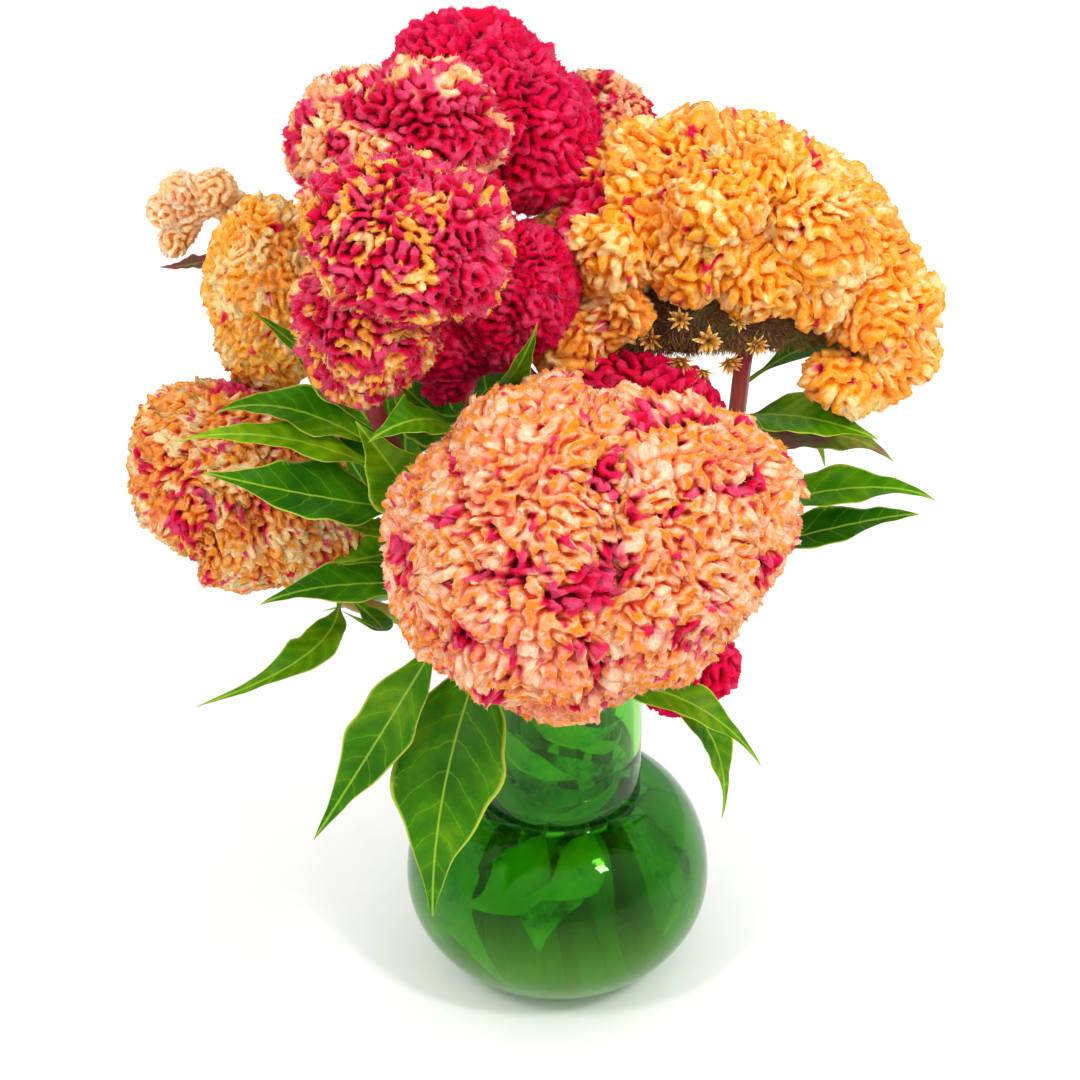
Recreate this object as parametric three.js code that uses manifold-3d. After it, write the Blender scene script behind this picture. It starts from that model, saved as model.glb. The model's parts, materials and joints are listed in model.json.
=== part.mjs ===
// Cockscomb celosia: a bouquet of cut flowers standing in a round green glass vase of water.
// Millimetres, +Z up. The origin is the middle of the vase's foot, on the table. -Y is the front.
//
// Each flower is a leafy stem and a head. A head is a crest: a thick folded band whose skin is
// covered by winding ridges. The ridges here are about three times life size.

import * as THREE from 'three';
import { mergeVertices } from 'three/addons/utils/BufferGeometryUtils.js';
import Module from 'manifold-3d';

const wasm = await Module();
wasm.setup();

// ---------------------------------------------------------------- driving dimensions, in mm

const VASE = {
  height: 180,
  footRadius: 44,
  bellyRadius: 78,
  bellyHeight: 50,
  shoulderHeight: 102,
  neckRadius: 42,
  lipRadius: 44.5,
  wall: 3.5,
  floor: 8,
  sides: 30,
};
const WATER_LEVEL = 129;
const GAP = 0.3; // clearance between pieces that touch

const STEM = { radius: 4.2, sides: 6, ringRadius: 25, footRingRadius: 34, footHeight: 12, twist: 35 };
const SHOOT_RADIUS = 2.2; // side shoots that carry the small heads
const SOCKET_LENGTH = 36; // hole that a stem's end stands in

const LEAF = { thickness: 0.8, petiole: 2.6, fold: 0.22, waves: 2.5 };

const RIDGE = { spacing: 8.6, rise: 4.2, fall: 3.4, rounds: 14 };

// ---------------------------------------------------------------- small helpers

const vec = (x, y, z) => new THREE.Vector3(x, y, z);
const toVec = (p) => (p.isVector3 ? p : vec(...p));
const radians = THREE.MathUtils.degToRad;

// A repeatable random draw between 0 and 1.
function draw(seed) {
  let state = seed >>> 0;
  return () => {
    state = (state + 0x6d2b79f5) >>> 0;
    let t = Math.imul(state ^ (state >>> 15), 1 | state);
    t = (t + Math.imul(t ^ (t >>> 7), 61 | t)) ^ t;
    return ((t ^ (t >>> 14)) >>> 0) / 4294967296;
  };
}

// Points and triangles become a geometry whose shared corners are merged.
function meshOf(points, triangles) {
  const geometry = new THREE.BufferGeometry();
  const flat = new Float32Array(points.flatMap((p) => [p.x, p.y, p.z]));
  geometry.setAttribute('position', new THREE.BufferAttribute(flat, 3));
  geometry.setIndex(triangles.flat());
  return geometry;
}

// A closed geometry becomes a solid that can be joined and cut.
function solid(geometry) {
  const bare = geometry.clone();
  bare.deleteAttribute('normal');
  bare.deleteAttribute('uv');
  const merged = mergeVertices(bare, 1e-3);
  const vertProperties = new Float32Array(merged.getAttribute('position').array);
  const triVerts = new Uint32Array(merged.getIndex().array);
  return new wasm.Manifold(new wasm.Mesh({ numProp: 3, vertProperties, triVerts }));
}

function geometryOf(manifold) {
  const { numProp, vertProperties, triVerts } = manifold.getMesh();
  const points = [];
  for (let i = 0; i < vertProperties.length; i += numProp) {
    points.push(vec(vertProperties[i], vertProperties[i + 1], vertProperties[i + 2]));
  }
  const geometry = meshOf(points, []);
  geometry.setIndex([...triVerts]);
  return geometry;
}

function named(name, geometry, material) {
  const mesh = new THREE.Mesh(geometry, material);
  mesh.name = name;
  geometry.computeVertexNormals();
  return mesh;
}

// A round rod along a curve, with flat ends.
function rod(curve, radius, sides, steps) {
  const section = new THREE.Shape();
  for (let i = 0; i < sides; i += 1) {
    const angle = (2 * Math.PI * i) / sides;
    section[i ? 'lineTo' : 'moveTo'](radius * Math.cos(angle), radius * Math.sin(angle));
  }
  section.closePath();
  return new THREE.ExtrudeGeometry(section, { steps, bevelEnabled: false, extrudePath: curve });
}

// ---------------------------------------------------------------- vase and water

// A profile turned round the upright axis.
function turned(profile) {
  return new THREE.LatheGeometry(profile, VASE.sides).rotateX(Math.PI / 2);
}

// Half-profile of the bulb: a quarter ellipse from the foot out to the belly and another from
// the belly in to the shoulder. `shrink` moves it inwards.
function bulbProfile(start, shrink, steps) {
  const belly = VASE.bellyRadius - shrink;
  const footSine = Math.sin(Math.acos(start.x / belly));
  const points = [];
  for (let i = 0; i <= steps; i += 1) {
    const angle = Math.acos(start.x / belly) * (1 - i / steps);
    const drop = (VASE.bellyHeight - start.y) * (Math.sin(angle) / footSine);
    points.push(new THREE.Vector2(belly * Math.cos(angle), VASE.bellyHeight - drop));
  }
  const shoulder = new THREE.Vector2(VASE.neckRadius - shrink, VASE.shoulderHeight - shrink);
  for (let i = 1; i < steps; i += 1) {
    const angle = (Math.PI * i) / (2 * steps);
    points.push(new THREE.Vector2(
      THREE.MathUtils.lerp(shoulder.x, belly, Math.cos(angle)),
      THREE.MathUtils.lerp(VASE.bellyHeight, shoulder.y, Math.sin(angle)),
    ));
  }
  return points;
}

function innerProfile(shrink) {
  const inset = VASE.wall + shrink;
  const start = new THREE.Vector2(VASE.footRadius, VASE.floor + shrink);
  const neck = VASE.neckRadius - inset;
  return [
    ...bulbProfile(start, inset, 6),
    new THREE.Vector2(neck + 1, VASE.shoulderHeight + 1),
    new THREE.Vector2(neck, VASE.shoulderHeight + 9),
  ];
}

function vaseGeometry() {
  const lipHeight = 8;
  const outer = [
    new THREE.Vector2(0, 0),
    ...bulbProfile(new THREE.Vector2(VASE.footRadius, 0), 0, 6),
    new THREE.Vector2(VASE.neckRadius + 1, VASE.shoulderHeight + 2),
    new THREE.Vector2(VASE.neckRadius, VASE.shoulderHeight + 10),
    new THREE.Vector2(VASE.neckRadius, VASE.height - lipHeight),
    new THREE.Vector2(VASE.lipRadius, VASE.height - 1.5),
    new THREE.Vector2(VASE.lipRadius - 1.2, VASE.height),
  ];
  const inner = [
    new THREE.Vector2(0, VASE.floor),
    ...innerProfile(0),
    new THREE.Vector2(VASE.neckRadius - VASE.wall, VASE.height - lipHeight),
    new THREE.Vector2(VASE.lipRadius - VASE.wall + 0.4, VASE.height),
  ];
  return turned([...outer, ...inner.reverse()]);
}

// The water fills the bulb and the lower neck. Each stem stands in a plain hole in it.
function waterGeometry(stems) {
  const wet = innerProfile(GAP).filter((p) => p.y < WATER_LEVEL);
  const top = wet[wet.length - 1].x;
  const profile = [
    new THREE.Vector2(0, VASE.floor + GAP),
    ...wet,
    new THREE.Vector2(top, WATER_LEVEL),
    new THREE.Vector2(0, WATER_LEVEL),
  ];
  let water = solid(turned(profile));
  for (const stem of stems) {
    const [foot, ...rest] = stem.wetPoints;
    const lowered = foot.clone().setZ(foot.z - GAP);
    const hole = new THREE.CatmullRomCurve3([lowered, ...rest], false, 'centripetal');
    water = water.subtract(solid(rod(hole, STEM.radius + 2 * GAP, STEM.sides, 5)));
  }
  return geometryOf(water);
}

// ---------------------------------------------------------------- stems and leaves

// A stem stands on the vase's floor, leans with the twist of the hand-tied bunch to its place
// in the neck, and goes on through the given points to its head.
function stemRoute(azimuth, above) {
  const at = (radius, turn, z) => {
    const angle = radians(azimuth + turn);
    return vec(radius * Math.cos(angle), radius * Math.sin(angle), z);
  };
  const wetPoints = [
    at(STEM.footRingRadius, STEM.twist, STEM.footHeight),
    at((STEM.footRingRadius + STEM.ringRadius) / 2, STEM.twist / 2, 66),
    at(STEM.ringRadius, 3, 112),
    at(STEM.ringRadius, 0, 142),
  ];
  const points = [...wetPoints, at(STEM.ringRadius, 0, VASE.height), ...above.map(toVec)];
  const curve = new THREE.CatmullRomCurve3(points, false, 'centripetal');
  return { curve, wetPoints, radius: STEM.radius };
}

// A side shoot leaves its stem at a share of its length and ends in a small head.
function shootRoute(stem, from, through) {
  const points = [stem.curve.getPoint(from), ...through.map(toVec)];
  return { curve: new THREE.CatmullRomCurve3(points, false, 'centripetal'), radius: SHOOT_RADIUS };
}

// Half-width of a blade along its length, as a share of its widest: a slim stalk, the widest
// place at two fifths, and a long drawn-out point.
const BLADE_STATIONS = [0, 0.13, 0.3, 0.48, 0.66, 0.84, 1];
const BLADE_WIDTHS = [0, 0.42, 0.92, 1, 0.7, 0.3, 0];

// One leaf: a blade folded a little along its midrib, with waved edges. From its root on the
// stem it arches past `middle` to the tip. The first part of it, `stalk`, is bare. `face` is
// the way its upper side looks.
function leaf({ root, middle, tip, width, face = [0, -0.4, 1], wave = 2, stalk = 0.1 }) {
  const ends = toVec(root).clone().add(toVec(tip));
  const bend = toVec(middle).multiplyScalar(2).addScaledVector(ends, -0.5);
  const arch = new THREE.QuadraticBezierCurve3(toVec(root), bend, toVec(tip));
  const up = toVec(face);
  const points = [];
  const triangles = [];
  BLADE_STATIONS.forEach((station, row) => {
    const s = row ? THREE.MathUtils.lerp(stalk, 1, station) : 0;
    const centre = arch.getPoint(s);
    const along = arch.getTangent(s);
    const side = along.clone().cross(up).normalize();
    const normal = side.clone().cross(along).normalize();
    const blunt = station === 1 ? 0.35 : 1;
    const half = Math.max(LEAF.petiole / 2, (BLADE_WIDTHS[row] * width) / 2) * blunt;
    for (const edge of [-1, 0, 1]) {
      const ripple = wave * Math.sin(2 * Math.PI * LEAF.waves * station + edge * 0.9);
      const lift = Math.abs(edge) * (half * LEAF.fold + ripple * BLADE_WIDTHS[row]);
      const thick = LEAF.thickness * (row ? 1 : 2);
      for (const skin of [0.5, -0.5]) {
        const point = centre.clone().addScaledVector(side, edge * half);
        points.push(point.addScaledVector(normal, lift + skin * thick));
      }
    }
  });
  const corner = (row, column, skin) => row * 6 + column * 2 + skin;
  const last = BLADE_STATIONS.length - 1;
  const quad = (a, b, c, d) => triangles.push([a, b, c], [a, c, d]);
  for (let row = 0; row < last; row += 1) {
    for (let column = 0; column < 2; column += 1) {
      const [a, b] = [column, column + 1];
      triangles.push([corner(row, a, 0), corner(row, b, 0), corner(row + 1, b, 0)]);
      triangles.push([corner(row, a, 0), corner(row + 1, b, 0), corner(row + 1, a, 0)]);
      triangles.push([corner(row, a, 1), corner(row + 1, b, 1), corner(row, b, 1)]);
      triangles.push([corner(row, a, 1), corner(row + 1, a, 1), corner(row + 1, b, 1)]);
    }
    quad(corner(row, 0, 1), corner(row, 0, 0), corner(row + 1, 0, 0), corner(row + 1, 0, 1));
    quad(corner(row, 2, 0), corner(row, 2, 1), corner(row + 1, 2, 1), corner(row + 1, 2, 0));
  }
  for (let column = 0; column < 2; column += 1) {
    const [a, b] = [column, column + 1];
    quad(corner(0, a, 0), corner(0, a, 1), corner(0, b, 1), corner(0, b, 0));
    quad(corner(last, a, 1), corner(last, a, 0), corner(last, b, 0), corner(last, b, 1));
  }
  return meshOf(points, triangles);
}

// A stem, its side shoot and its leaves, fused into one body. `on` and `at` say where on the
// stem or its shoot a leaf grows.
function leafyStem({ route, shoot, leaves }) {
  const parts = [solid(rod(route.curve, route.radius, STEM.sides, 15))];
  if (shoot) parts.push(solid(rod(shoot.curve, shoot.radius, 5, 6)));
  for (const { on = route, at, ...shape } of leaves) {
    parts.push(solid(leaf({ root: on.curve.getPoint(at), ...shape })));
  }
  return parts.reduce((whole, part) => whole.add(part));
}

// ---------------------------------------------------------------- heads

// The smooth form of a crest: a rounded band swept along its spine. `radii` are its half-widths
// at the spine's points, `squash` is its thickness as a share of its width, and `clefts` are
// the folds that part its lobes.
function crestForm({ spine, radii, squash = 0.9, face = [0, -1, 0.35], fullness = 2.4, clefts = [] }) {
  const curve = new THREE.CatmullRomCurve3(spine.map(toVec), false, 'centripetal');
  const front = toVec(face);
  const radiusAt = (t) => {
    const place = t * (radii.length - 1);
    const before = Math.min(Math.floor(place), radii.length - 2);
    const share = THREE.MathUtils.smoothstep(place - before, 0, 1);
    const ends = Math.max(0, 1 - Math.abs(2 * t - 1) ** fullness) ** 0.5;
    return THREE.MathUtils.lerp(radii[before], radii[before + 1], share) * ends;
  };
  const pointAt = (t, angle) => {
    const along = curve.getTangent(t);
    const out = front.clone().addScaledVector(along, -front.dot(along)).normalize();
    const across = along.clone().cross(out);
    let radius = radiusAt(t);
    for (const { at, width, depth } of clefts) {
      radius *= 1 - depth * Math.exp(-(((t - at) / width) ** 2));
    }
    const point = curve.getPoint(t);
    point.addScaledVector(across, radius * Math.cos(angle));
    return point.addScaledVector(out, radius * squash * Math.sin(angle));
  };
  return { radiusAt, pointAt, curve, squash };
}

// Rings of points around the form, evenly spaced, stitched into one closed skin.
function crestSkin(form, spacing, random) {
  const samples = 240;
  const lengths = [0];
  for (let i = 1; i <= samples; i += 1) {
    const [a, b] = [(i - 1) / samples, i / samples];
    const forward = form.curve.getPoint(a).distanceTo(form.curve.getPoint(b));
    const outward = form.radiusAt(b) - form.radiusAt(a);
    lengths.push(lengths[i - 1] + Math.hypot(forward, outward));
  }
  const total = lengths[samples];
  const rings = Math.max(4, Math.round(total / (spacing * 0.87)));
  const points = [form.pointAt(0, 0)];
  const rows = [[0]];
  for (let ring = 1; ring < rings; ring += 1) {
    const wanted = (total * ring) / rings;
    const t = lengths.findIndex((length) => length >= wanted) / samples;
    const around = Math.PI * form.radiusAt(t) * (1 + form.squash);
    const count = Math.max(5, Math.round(around / spacing));
    const row = [];
    for (let i = 0; i < count; i += 1) {
      const angle = (2 * Math.PI * (i + (ring % 2) / 2 + 0.3 * (random() - 0.5))) / count;
      row.push(points.length);
      points.push(form.pointAt(THREE.MathUtils.clamp(t + (0.2 * (random() - 0.5)) / rings, 0, 1), angle));
    }
    rows.push(row);
  }
  rows.push([points.length]);
  points.push(form.pointAt(1, 0));
  const triangles = [];
  for (let ring = 0; ring < rings; ring += 1) {
    stitch(rows[ring], rows[ring + 1], triangles);
  }
  return { points, triangles };
}

// Fills the strip between two rings of points with triangles.
function stitch(lower, upper, triangles) {
  let [i, j] = [0, 0];
  while (i < lower.length || j < upper.length) {
    const nextLower = lower.length > 1 ? (i + 1) / lower.length : Infinity;
    const nextUpper = upper.length > 1 ? (j + 1) / upper.length : Infinity;
    const a = lower[i % lower.length];
    const b = upper[j % upper.length];
    if (nextLower <= nextUpper) {
      triangles.push([a, b, lower[(i + 1) % lower.length]]);
      i += 1;
    } else {
      triangles.push([a, b, upper[(j + 1) % upper.length]]);
      j += 1;
    }
    if (i >= lower.length && upper.length === 1) break;
    if (j >= upper.length && lower.length === 1) break;
  }
}

// Winding ridges. Every point pushes its neighbours' neighbours the other way until the skin
// has parted into ridges (+1) and valleys (-1), as the folds of the flower do.
function ridges(skin, random) {
  const near = skin.points.map(() => new Set());
  for (const [a, b, c] of skin.triangles) {
    near[a].add(b).add(c);
    near[b].add(a).add(c);
    near[c].add(a).add(b);
  }
  const mean = (values) => values.map((_, i) => {
    let sum = 0;
    near[i].forEach((j) => { sum += values[j]; });
    return sum / near[i].size;
  });
  let height = skin.points.map(() => random() - 0.5);
  for (let round = 0; round < RIDGE.rounds; round += 1) {
    const wide = mean(mean(height));
    height = height.map((h, i) => Math.tanh(2.6 * (h - wide[i])));
  }
  return height;
}

// The skin's points, each moved outwards by its own lift.
function grown(skin, liftOf) {
  const smooth = meshOf(skin.points, skin.triangles);
  smooth.computeVertexNormals();
  const normals = smooth.getAttribute('normal');
  return skin.points.map((point, i) => (
    point.clone().addScaledVector(vec(normals.getX(i), normals.getY(i), normals.getZ(i)), liftOf(i))
  ));
}

// A head: the ridged skin over its form, drawn in to the stem at `root`.
function ridgedHead({ seed, root, neck = 20, spacing = RIDGE.spacing, rise = 1, ...shape }) {
  const random = draw(seed);
  const skin = crestSkin(crestForm(shape), spacing, random);
  const height = ridges(skin, random);
  const lift = (i) => height[i] * (height[i] > 0 ? RIDGE.rise : RIDGE.fall) * rise;
  if (!root) return solid(meshOf(grown(skin, lift), skin.triangles));
  const base = toVec(root);
  const pull = skin.points.map((point) => Math.exp(-((point.distanceTo(base) / neck) ** 2)));
  const loose = grown(skin, (i) => lift(i) * (1 - pull[i]));
  const points = loose.map((point, i) => point.lerp(base, 0.55 * pull[i]));
  return solid(meshOf(points, skin.triangles));
}

// The room that a head needs: its form grown past its ridges.
function roomOf({ seed, root, neck, spacing, rise, ...shape }) {
  const skin = crestSkin(crestForm(shape), 1.5 * RIDGE.spacing, draw(seed));
  return solid(meshOf(grown(skin, () => RIDGE.rise + 6 * GAP), skin.triangles));
}

// The hole in a head that a stem's end stands in. It is open on the stem's side.
function socket({ curve, radius }) {
  const end = curve.getPoint(1);
  const ahead = curve.getTangent(1);
  const line = new THREE.LineCurve3(
    end.clone().addScaledVector(ahead, -SOCKET_LENGTH),
    end.clone().addScaledVector(ahead, GAP),
  );
  return solid(rod(line, radius + 2 * GAP, STEM.sides, 1));
}

// A floret that has opened into a little star. It stands on a slim cone.
function starFloret({ at, look, radius }) {
  const rays = 5;
  const turn = new THREE.Quaternion().setFromUnitVectors(vec(0, 0, 1), toVec(look).normalize());
  const place = (x, y, z) => vec(x, y, z).applyQuaternion(turn).add(toVec(at));
  const points = [place(0, 0, 2.4), place(0, 0, -1.8 * radius)];
  for (let i = 0; i < 2 * rays; i += 1) {
    const reach = i % 2 ? 0.42 * radius : radius;
    const angle = (Math.PI * i) / rays;
    points.push(place(reach * Math.cos(angle), reach * Math.sin(angle), 0.6));
    points.push(place(reach * Math.cos(angle), reach * Math.sin(angle), -0.6));
  }
  const triangles = [];
  for (let i = 0; i < 2 * rays; i += 1) {
    const [a, b] = [2 + 2 * i, 2 + 2 * ((i + 1) % (2 * rays))];
    triangles.push([0, a, b], [1, b + 1, a + 1], [a, a + 1, b + 1], [a, b + 1, b]);
  }
  return solid(meshOf(points, triangles));
}

// ---------------------------------------------------------------- colours

const finish = (color, roughness, metalness = 0) => (
  new THREE.MeshStandardMaterial({ color, roughness, metalness })
);
const GLASS = finish(0x5da05a, 0.05);
GLASS.transparent = true;
GLASS.opacity = 0.35;
const WATER = finish(0x3f8a3c, 0.05);
WATER.transparent = true;
WATER.opacity = 0.4;
const LEAF_GREEN = finish(0x4c8a1f, 0.5);
const PEACH = finish(0xf0a066, 0.8);
const CRIMSON = finish(0xb81440, 0.85);
const PINK_ORANGE = finish(0xe0606a, 0.85);
const CRIMSON_ORANGE = finish(0xd8502c, 0.85);
const YELLOW_ORANGE = finish(0xf2a63c, 0.8);
const PALE_ORANGE = finish(0xf2b878, 0.8);
const OLIVE_BROWN = finish(0x5f4a22, 0.9);

// ---------------------------------------------------------------- stems of the bouquet

// Where each stem stands round the neck, in degrees, and the points it passes through from
// the rim to its head.
const ROUTES = {
  front: stemRoute(-80, [[7, -38, 198], [15, -57, 234]]),
  inner: stemRoute(-35, [[31, -16, 181], [52, -13, 196]]),
  right: stemRoute(10, [[52, 30, 215], [82, 42, 270], [88, 34, 330]]),
  back: stemRoute(55, [[20, 58, 240], [22, 84, 320], [18, 98, 396]]),
  top: stemRoute(100, [[-12, 46, 240], [-20, 60, 320], [-28, 57, 404]]),
  leftHigh: stemRoute(145, [[-48, 40, 222], [-95, 62, 262], [-138, 46, 312]]),
  leftLow: stemRoute(190, [[-58, 4, 194], [-112, 12, 212]]),
  middle: stemRoute(235, [[-38, -30, 235], [-64, -40, 290], [-86, -50, 350]]),
};
const SHOOTS = {
  pale: shootRoute(ROUTES.leftHigh, 0.8, [[-134, 88, 330], [-160, 76, 384]]),
  deep: shootRoute(ROUTES.middle, 0.78, [[-46, -22, 306], [-38, -10, 350]]),
};

const STEMS = {
  stem_front: {
    route: ROUTES.front,
    leaves: [
      { at: 0.68, middle: [58, -50, 188], tip: [97, -55, 153], width: 22, face: [0.2, -0.5, 1] },
    ],
  },
  stem_inner: {
    route: ROUTES.inner,
    leaves: [
      { at: 0.9, middle: [73, -38, 160], tip: [80, -50, 118], width: 20, face: [0.7, -0.7, 0.4] },
    ],
  },
  stem_right: {
    route: ROUTES.right,
    leaves: [
      { at: 0.91, middle: [116, 10, 307], tip: [150, 1, 300], width: 31 },
      { at: 0.86, middle: [126, 22, 292], tip: [160, 15, 281], width: 26 },
      { at: 0.76, middle: [134, 14, 266], tip: [179, 0, 268], width: 24 },
      { at: 0.7, middle: [132, 8, 248], tip: [171, -5, 263], width: 22 },
      { at: 0.95, middle: [136, 66, 322], tip: [181, 46, 326], width: 24 },
      { at: 0.6, middle: [102, 76, 256], tip: [140, 112, 226], width: 40, face: [0.4, 0.5, 1] },
    ],
  },
  stem_back: {
    route: ROUTES.back,
    leaves: [
      { at: 0.75, middle: [50, 116, 318], tip: [72, 160, 290], width: 44, face: [0.2, 0.4, 1] },
      { at: 0.6, middle: [4, 104, 244], tip: [-4, 152, 214], width: 48, face: [0, 0.5, 1] },
    ],
  },
  stem_top: {
    route: ROUTES.top,
    leaves: [
      { at: 0.72, middle: [-54, 98, 322], tip: [-84, 136, 306], width: 42, face: [-0.3, 0.5, 1] },
    ],
  },
  stem_left_high: {
    route: ROUTES.leftHigh,
    shoot: SHOOTS.pale,
    leaves: [
      { at: 0.7, middle: [-104, 88, 246], tip: [-150, 122, 220], width: 40, face: [-0.3, 0.4, 1] },
      { on: SHOOTS.pale, at: 0.8, middle: [-174, 64, 362], tip: [-190, 56, 364], width: 9, wave: 0.8 },
    ],
  },
  stem_left_low: {
    route: ROUTES.leftLow,
    leaves: [
      { at: 0.86, middle: [-118, -40, 208], tip: [-172, -52, 185], width: 20 },
      { at: 0.9, middle: [-84, -34, 218], tip: [-101, -47, 235], width: 12, wave: 1 },
      { at: 0.83, middle: [-88, 54, 180], tip: [-124, 92, 150], width: 44, face: [-0.3, 0.5, 1] },
    ],
  },
  stem_middle: {
    route: ROUTES.middle,
    shoot: SHOOTS.deep,
    leaves: [
      { at: 0.67, middle: [-52, -84, 170], tip: [-60, -100, 97], width: 54, face: [-0.2, -1, 0.5] },
      {
        at: 0.73, middle: [-79, -76, 193], tip: [-116, -86, 132], width: 30,
        face: [-0.4, -0.9, 0.5], stalk: 0.2,
      },
      { at: 0.92, middle: [-106, -22, 346], tip: [-137, -26, 378], width: 22 },
      { at: 0.91, middle: [-118, -36, 334], tip: [-154, -46, 338], width: 24 },
      { at: 0.88, middle: [-122, -48, 326], tip: [-170, -60, 331], width: 18 },
      { at: 0.84, middle: [-112, -60, 304], tip: [-157, -70, 321], width: 38 },
      { at: 0.8, middle: [-84, -56, 284], tip: [-97, -58, 287], width: 12, wave: 1 },
      { at: 0.72, middle: [-98, -48, 250], tip: [-138, -56, 244], width: 24 },
      {
        on: SHOOTS.deep, at: 0.6, middle: [-62, -64, 344], tip: [-84, -74, 338], width: 24,
        face: [-0.2, -0.8, 1],
      },
      {
        on: SHOOTS.deep, at: 0.75, middle: [-24, -42, 351], tip: [-10, -50, 384], width: 22,
        face: [0.6, -0.8, 0.2],
      },
    ],
  },
};

// ---------------------------------------------------------------- heads of the bouquet

// Each head's spine and half-widths, and the stem that stands in it. `beside` names the heads
// that it is pressed against: it gives way to them.
const HEADS = {
  head_front: {
    colour: PEACH,
    stem: ROUTES.front,
    shape: {
      seed: 3,
      spine: [[-75, -92, 301], [-30, -97, 299], [18, -97, 300], [62, -97, 311], [101, -90, 319]],
      radii: [57, 73, 73, 62, 43],
      squash: 0.94,
      fullness: 2.2,
      clefts: [{ at: 0.53, width: 0.06, depth: 0.13 }],
      root: [15, -57, 226],
    },
  },
  head_middle: {
    colour: CRIMSON_ORANGE,
    stem: ROUTES.middle,
    shape: {
      seed: 9,
      spine: [[-62, -62, 470], [-66, -66, 438], [-80, -64, 400], [-90, -52, 347]],
      radii: [42, 46, 34, 28],
      squash: 0.8,
      root: [-86, -50, 348],
      neck: 12,
    },
  },
  head_right: {
    colour: YELLOW_ORANGE,
    shape: {
      seed: 13,
      spine: [
        [-2, 22, 338], [9, 28, 368], [36, 35, 401], [74, 38, 407],
        [110, 40, 393], [144, 34, 362], [158, 24, 332], [138, 12, 312],
      ],
      radii: [18, 30, 36, 38, 36, 30, 22, 12],
      fullness: 3,
    },
  },
  head_right_underside: {
    colour: OLIVE_BROWN,
    stem: ROUTES.right,
    beside: ['head_right'],
    florets: [
      { at: [50, 4, 352], look: [-0.2, -1, -0.1], radius: 6.5 },
      { at: [62, 2, 342], look: [0.1, -1, -0.2], radius: 7 },
      { at: [74, 4, 352], look: [0.1, -1, 0.2], radius: 6.5 },
      { at: [82, 6, 340], look: [0.2, -1, -0.3], radius: 6.5 },
    ],
    shape: {
      seed: 15,
      spine: [[24, 20, 340], [60, 26, 356], [100, 28, 358], [142, 28, 342]],
      radii: [16, 22, 22, 14],
      spacing: 12,
      rise: 0.3,
      root: [88, 34, 326],
    },
  },
  head_top: {
    colour: CRIMSON,
    stem: ROUTES.top,
    beside: ['head_middle', 'head_right'],
    shape: {
      seed: 5,
      spine: [[-74, 50, 444], [-38, 56, 443], [4, 52, 412], [10, 50, 396]],
      radii: [42, 43, 44, 34],
      root: [-28, 57, 400],
    },
  },
  head_top_lobe: {
    colour: PINK_ORANGE,
    beside: ['head_middle', 'head_top'],
    shape: {
      seed: 7,
      spine: [[-118, 8, 440], [-88, 0, 452], [-50, -4, 460], [-28, 0, 456]],
      radii: [22, 27, 27, 18],
    },
  },
  head_deep: {
    colour: CRIMSON,
    stem: SHOOTS.deep,
    beside: ['head_middle', 'head_right', 'head_front'],
    shape: {
      seed: 11,
      spine: [[-28, -2, 410], [-24, -4, 378], [-34, -4, 344]],
      radii: [26, 30, 25],
      root: [-38, -10, 342],
      neck: 12,
    },
  },
  head_left_high: {
    colour: YELLOW_ORANGE,
    stem: ROUTES.leftHigh,
    beside: ['head_middle', 'head_top_lobe'],
    shape: {
      seed: 17,
      spine: [[-132, 44, 402], [-138, 42, 360], [-140, 42, 302]],
      radii: [24, 25, 22],
      root: [-138, 46, 312],
      neck: 10,
    },
  },
  head_left_low: {
    colour: PEACH,
    stem: ROUTES.leftLow,
    beside: ['head_left_high'],
    shape: {
      seed: 19,
      spine: [[-198, 4, 264], [-172, 10, 271], [-134, 14, 258], [-94, 12, 240]],
      radii: [36, 48, 44, 32],
      root: [-112, 12, 208],
    },
  },
  head_pale: {
    colour: PALE_ORANGE,
    stem: SHOOTS.pale,
    shape: {
      seed: 21,
      spine: [[-180, 72, 367], [-177, 72, 389], [-162, 72, 392], [-147, 70, 381]],
      radii: [11, 13, 12, 8],
      spacing: 7,
      rise: 0.6,
    },
  },
  head_inner: {
    colour: CRIMSON,
    stem: ROUTES.inner,
    beside: ['head_front', 'head_right', 'head_deep'],
    shape: {
      seed: 23,
      spine: [[56, -12, 192], [74, -6, 225], [76, 0, 265], [62, 0, 303], [32, -3, 327], [-22, -4, 330]],
      radii: [18, 20, 20, 20, 20, 16],
      fullness: 3,
      root: [50, -13, 196],
      neck: 10,
    },
  },
  head_back: {
    colour: PINK_ORANGE,
    stem: ROUTES.back,
    beside: ['head_top', 'head_right'],
    shape: {
      seed: 25,
      spine: [[0, 100, 424], [19, 101, 418], [34, 98, 400]],
      radii: [22, 24, 20],
      root: [18, 98, 394],
      neck: 10,
    },
  },
};

// ---------------------------------------------------------------- putting it together

const bouquet = new THREE.Group();
const add = (name, geometry, material) => bouquet.add(named(name, geometry, material));

add('vase', vaseGeometry(), GLASS);
add('water', waterGeometry(Object.values(ROUTES)), WATER);
for (const [name, plan] of Object.entries(STEMS)) add(name, geometryOf(leafyStem(plan)), LEAF_GREEN);
for (const [name, { shape, beside = [], florets = [], stem, colour }] of Object.entries(HEADS)) {
  let body = ridgedHead(shape);
  for (const other of beside) body = body.subtract(roomOf(HEADS[other].shape));
  for (const floret of florets) body = body.add(starFloret(floret));
  if (stem) body = body.subtract(socket(stem));
  add(name, geometryOf(body), colour);
}

export default bouquet;
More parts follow.
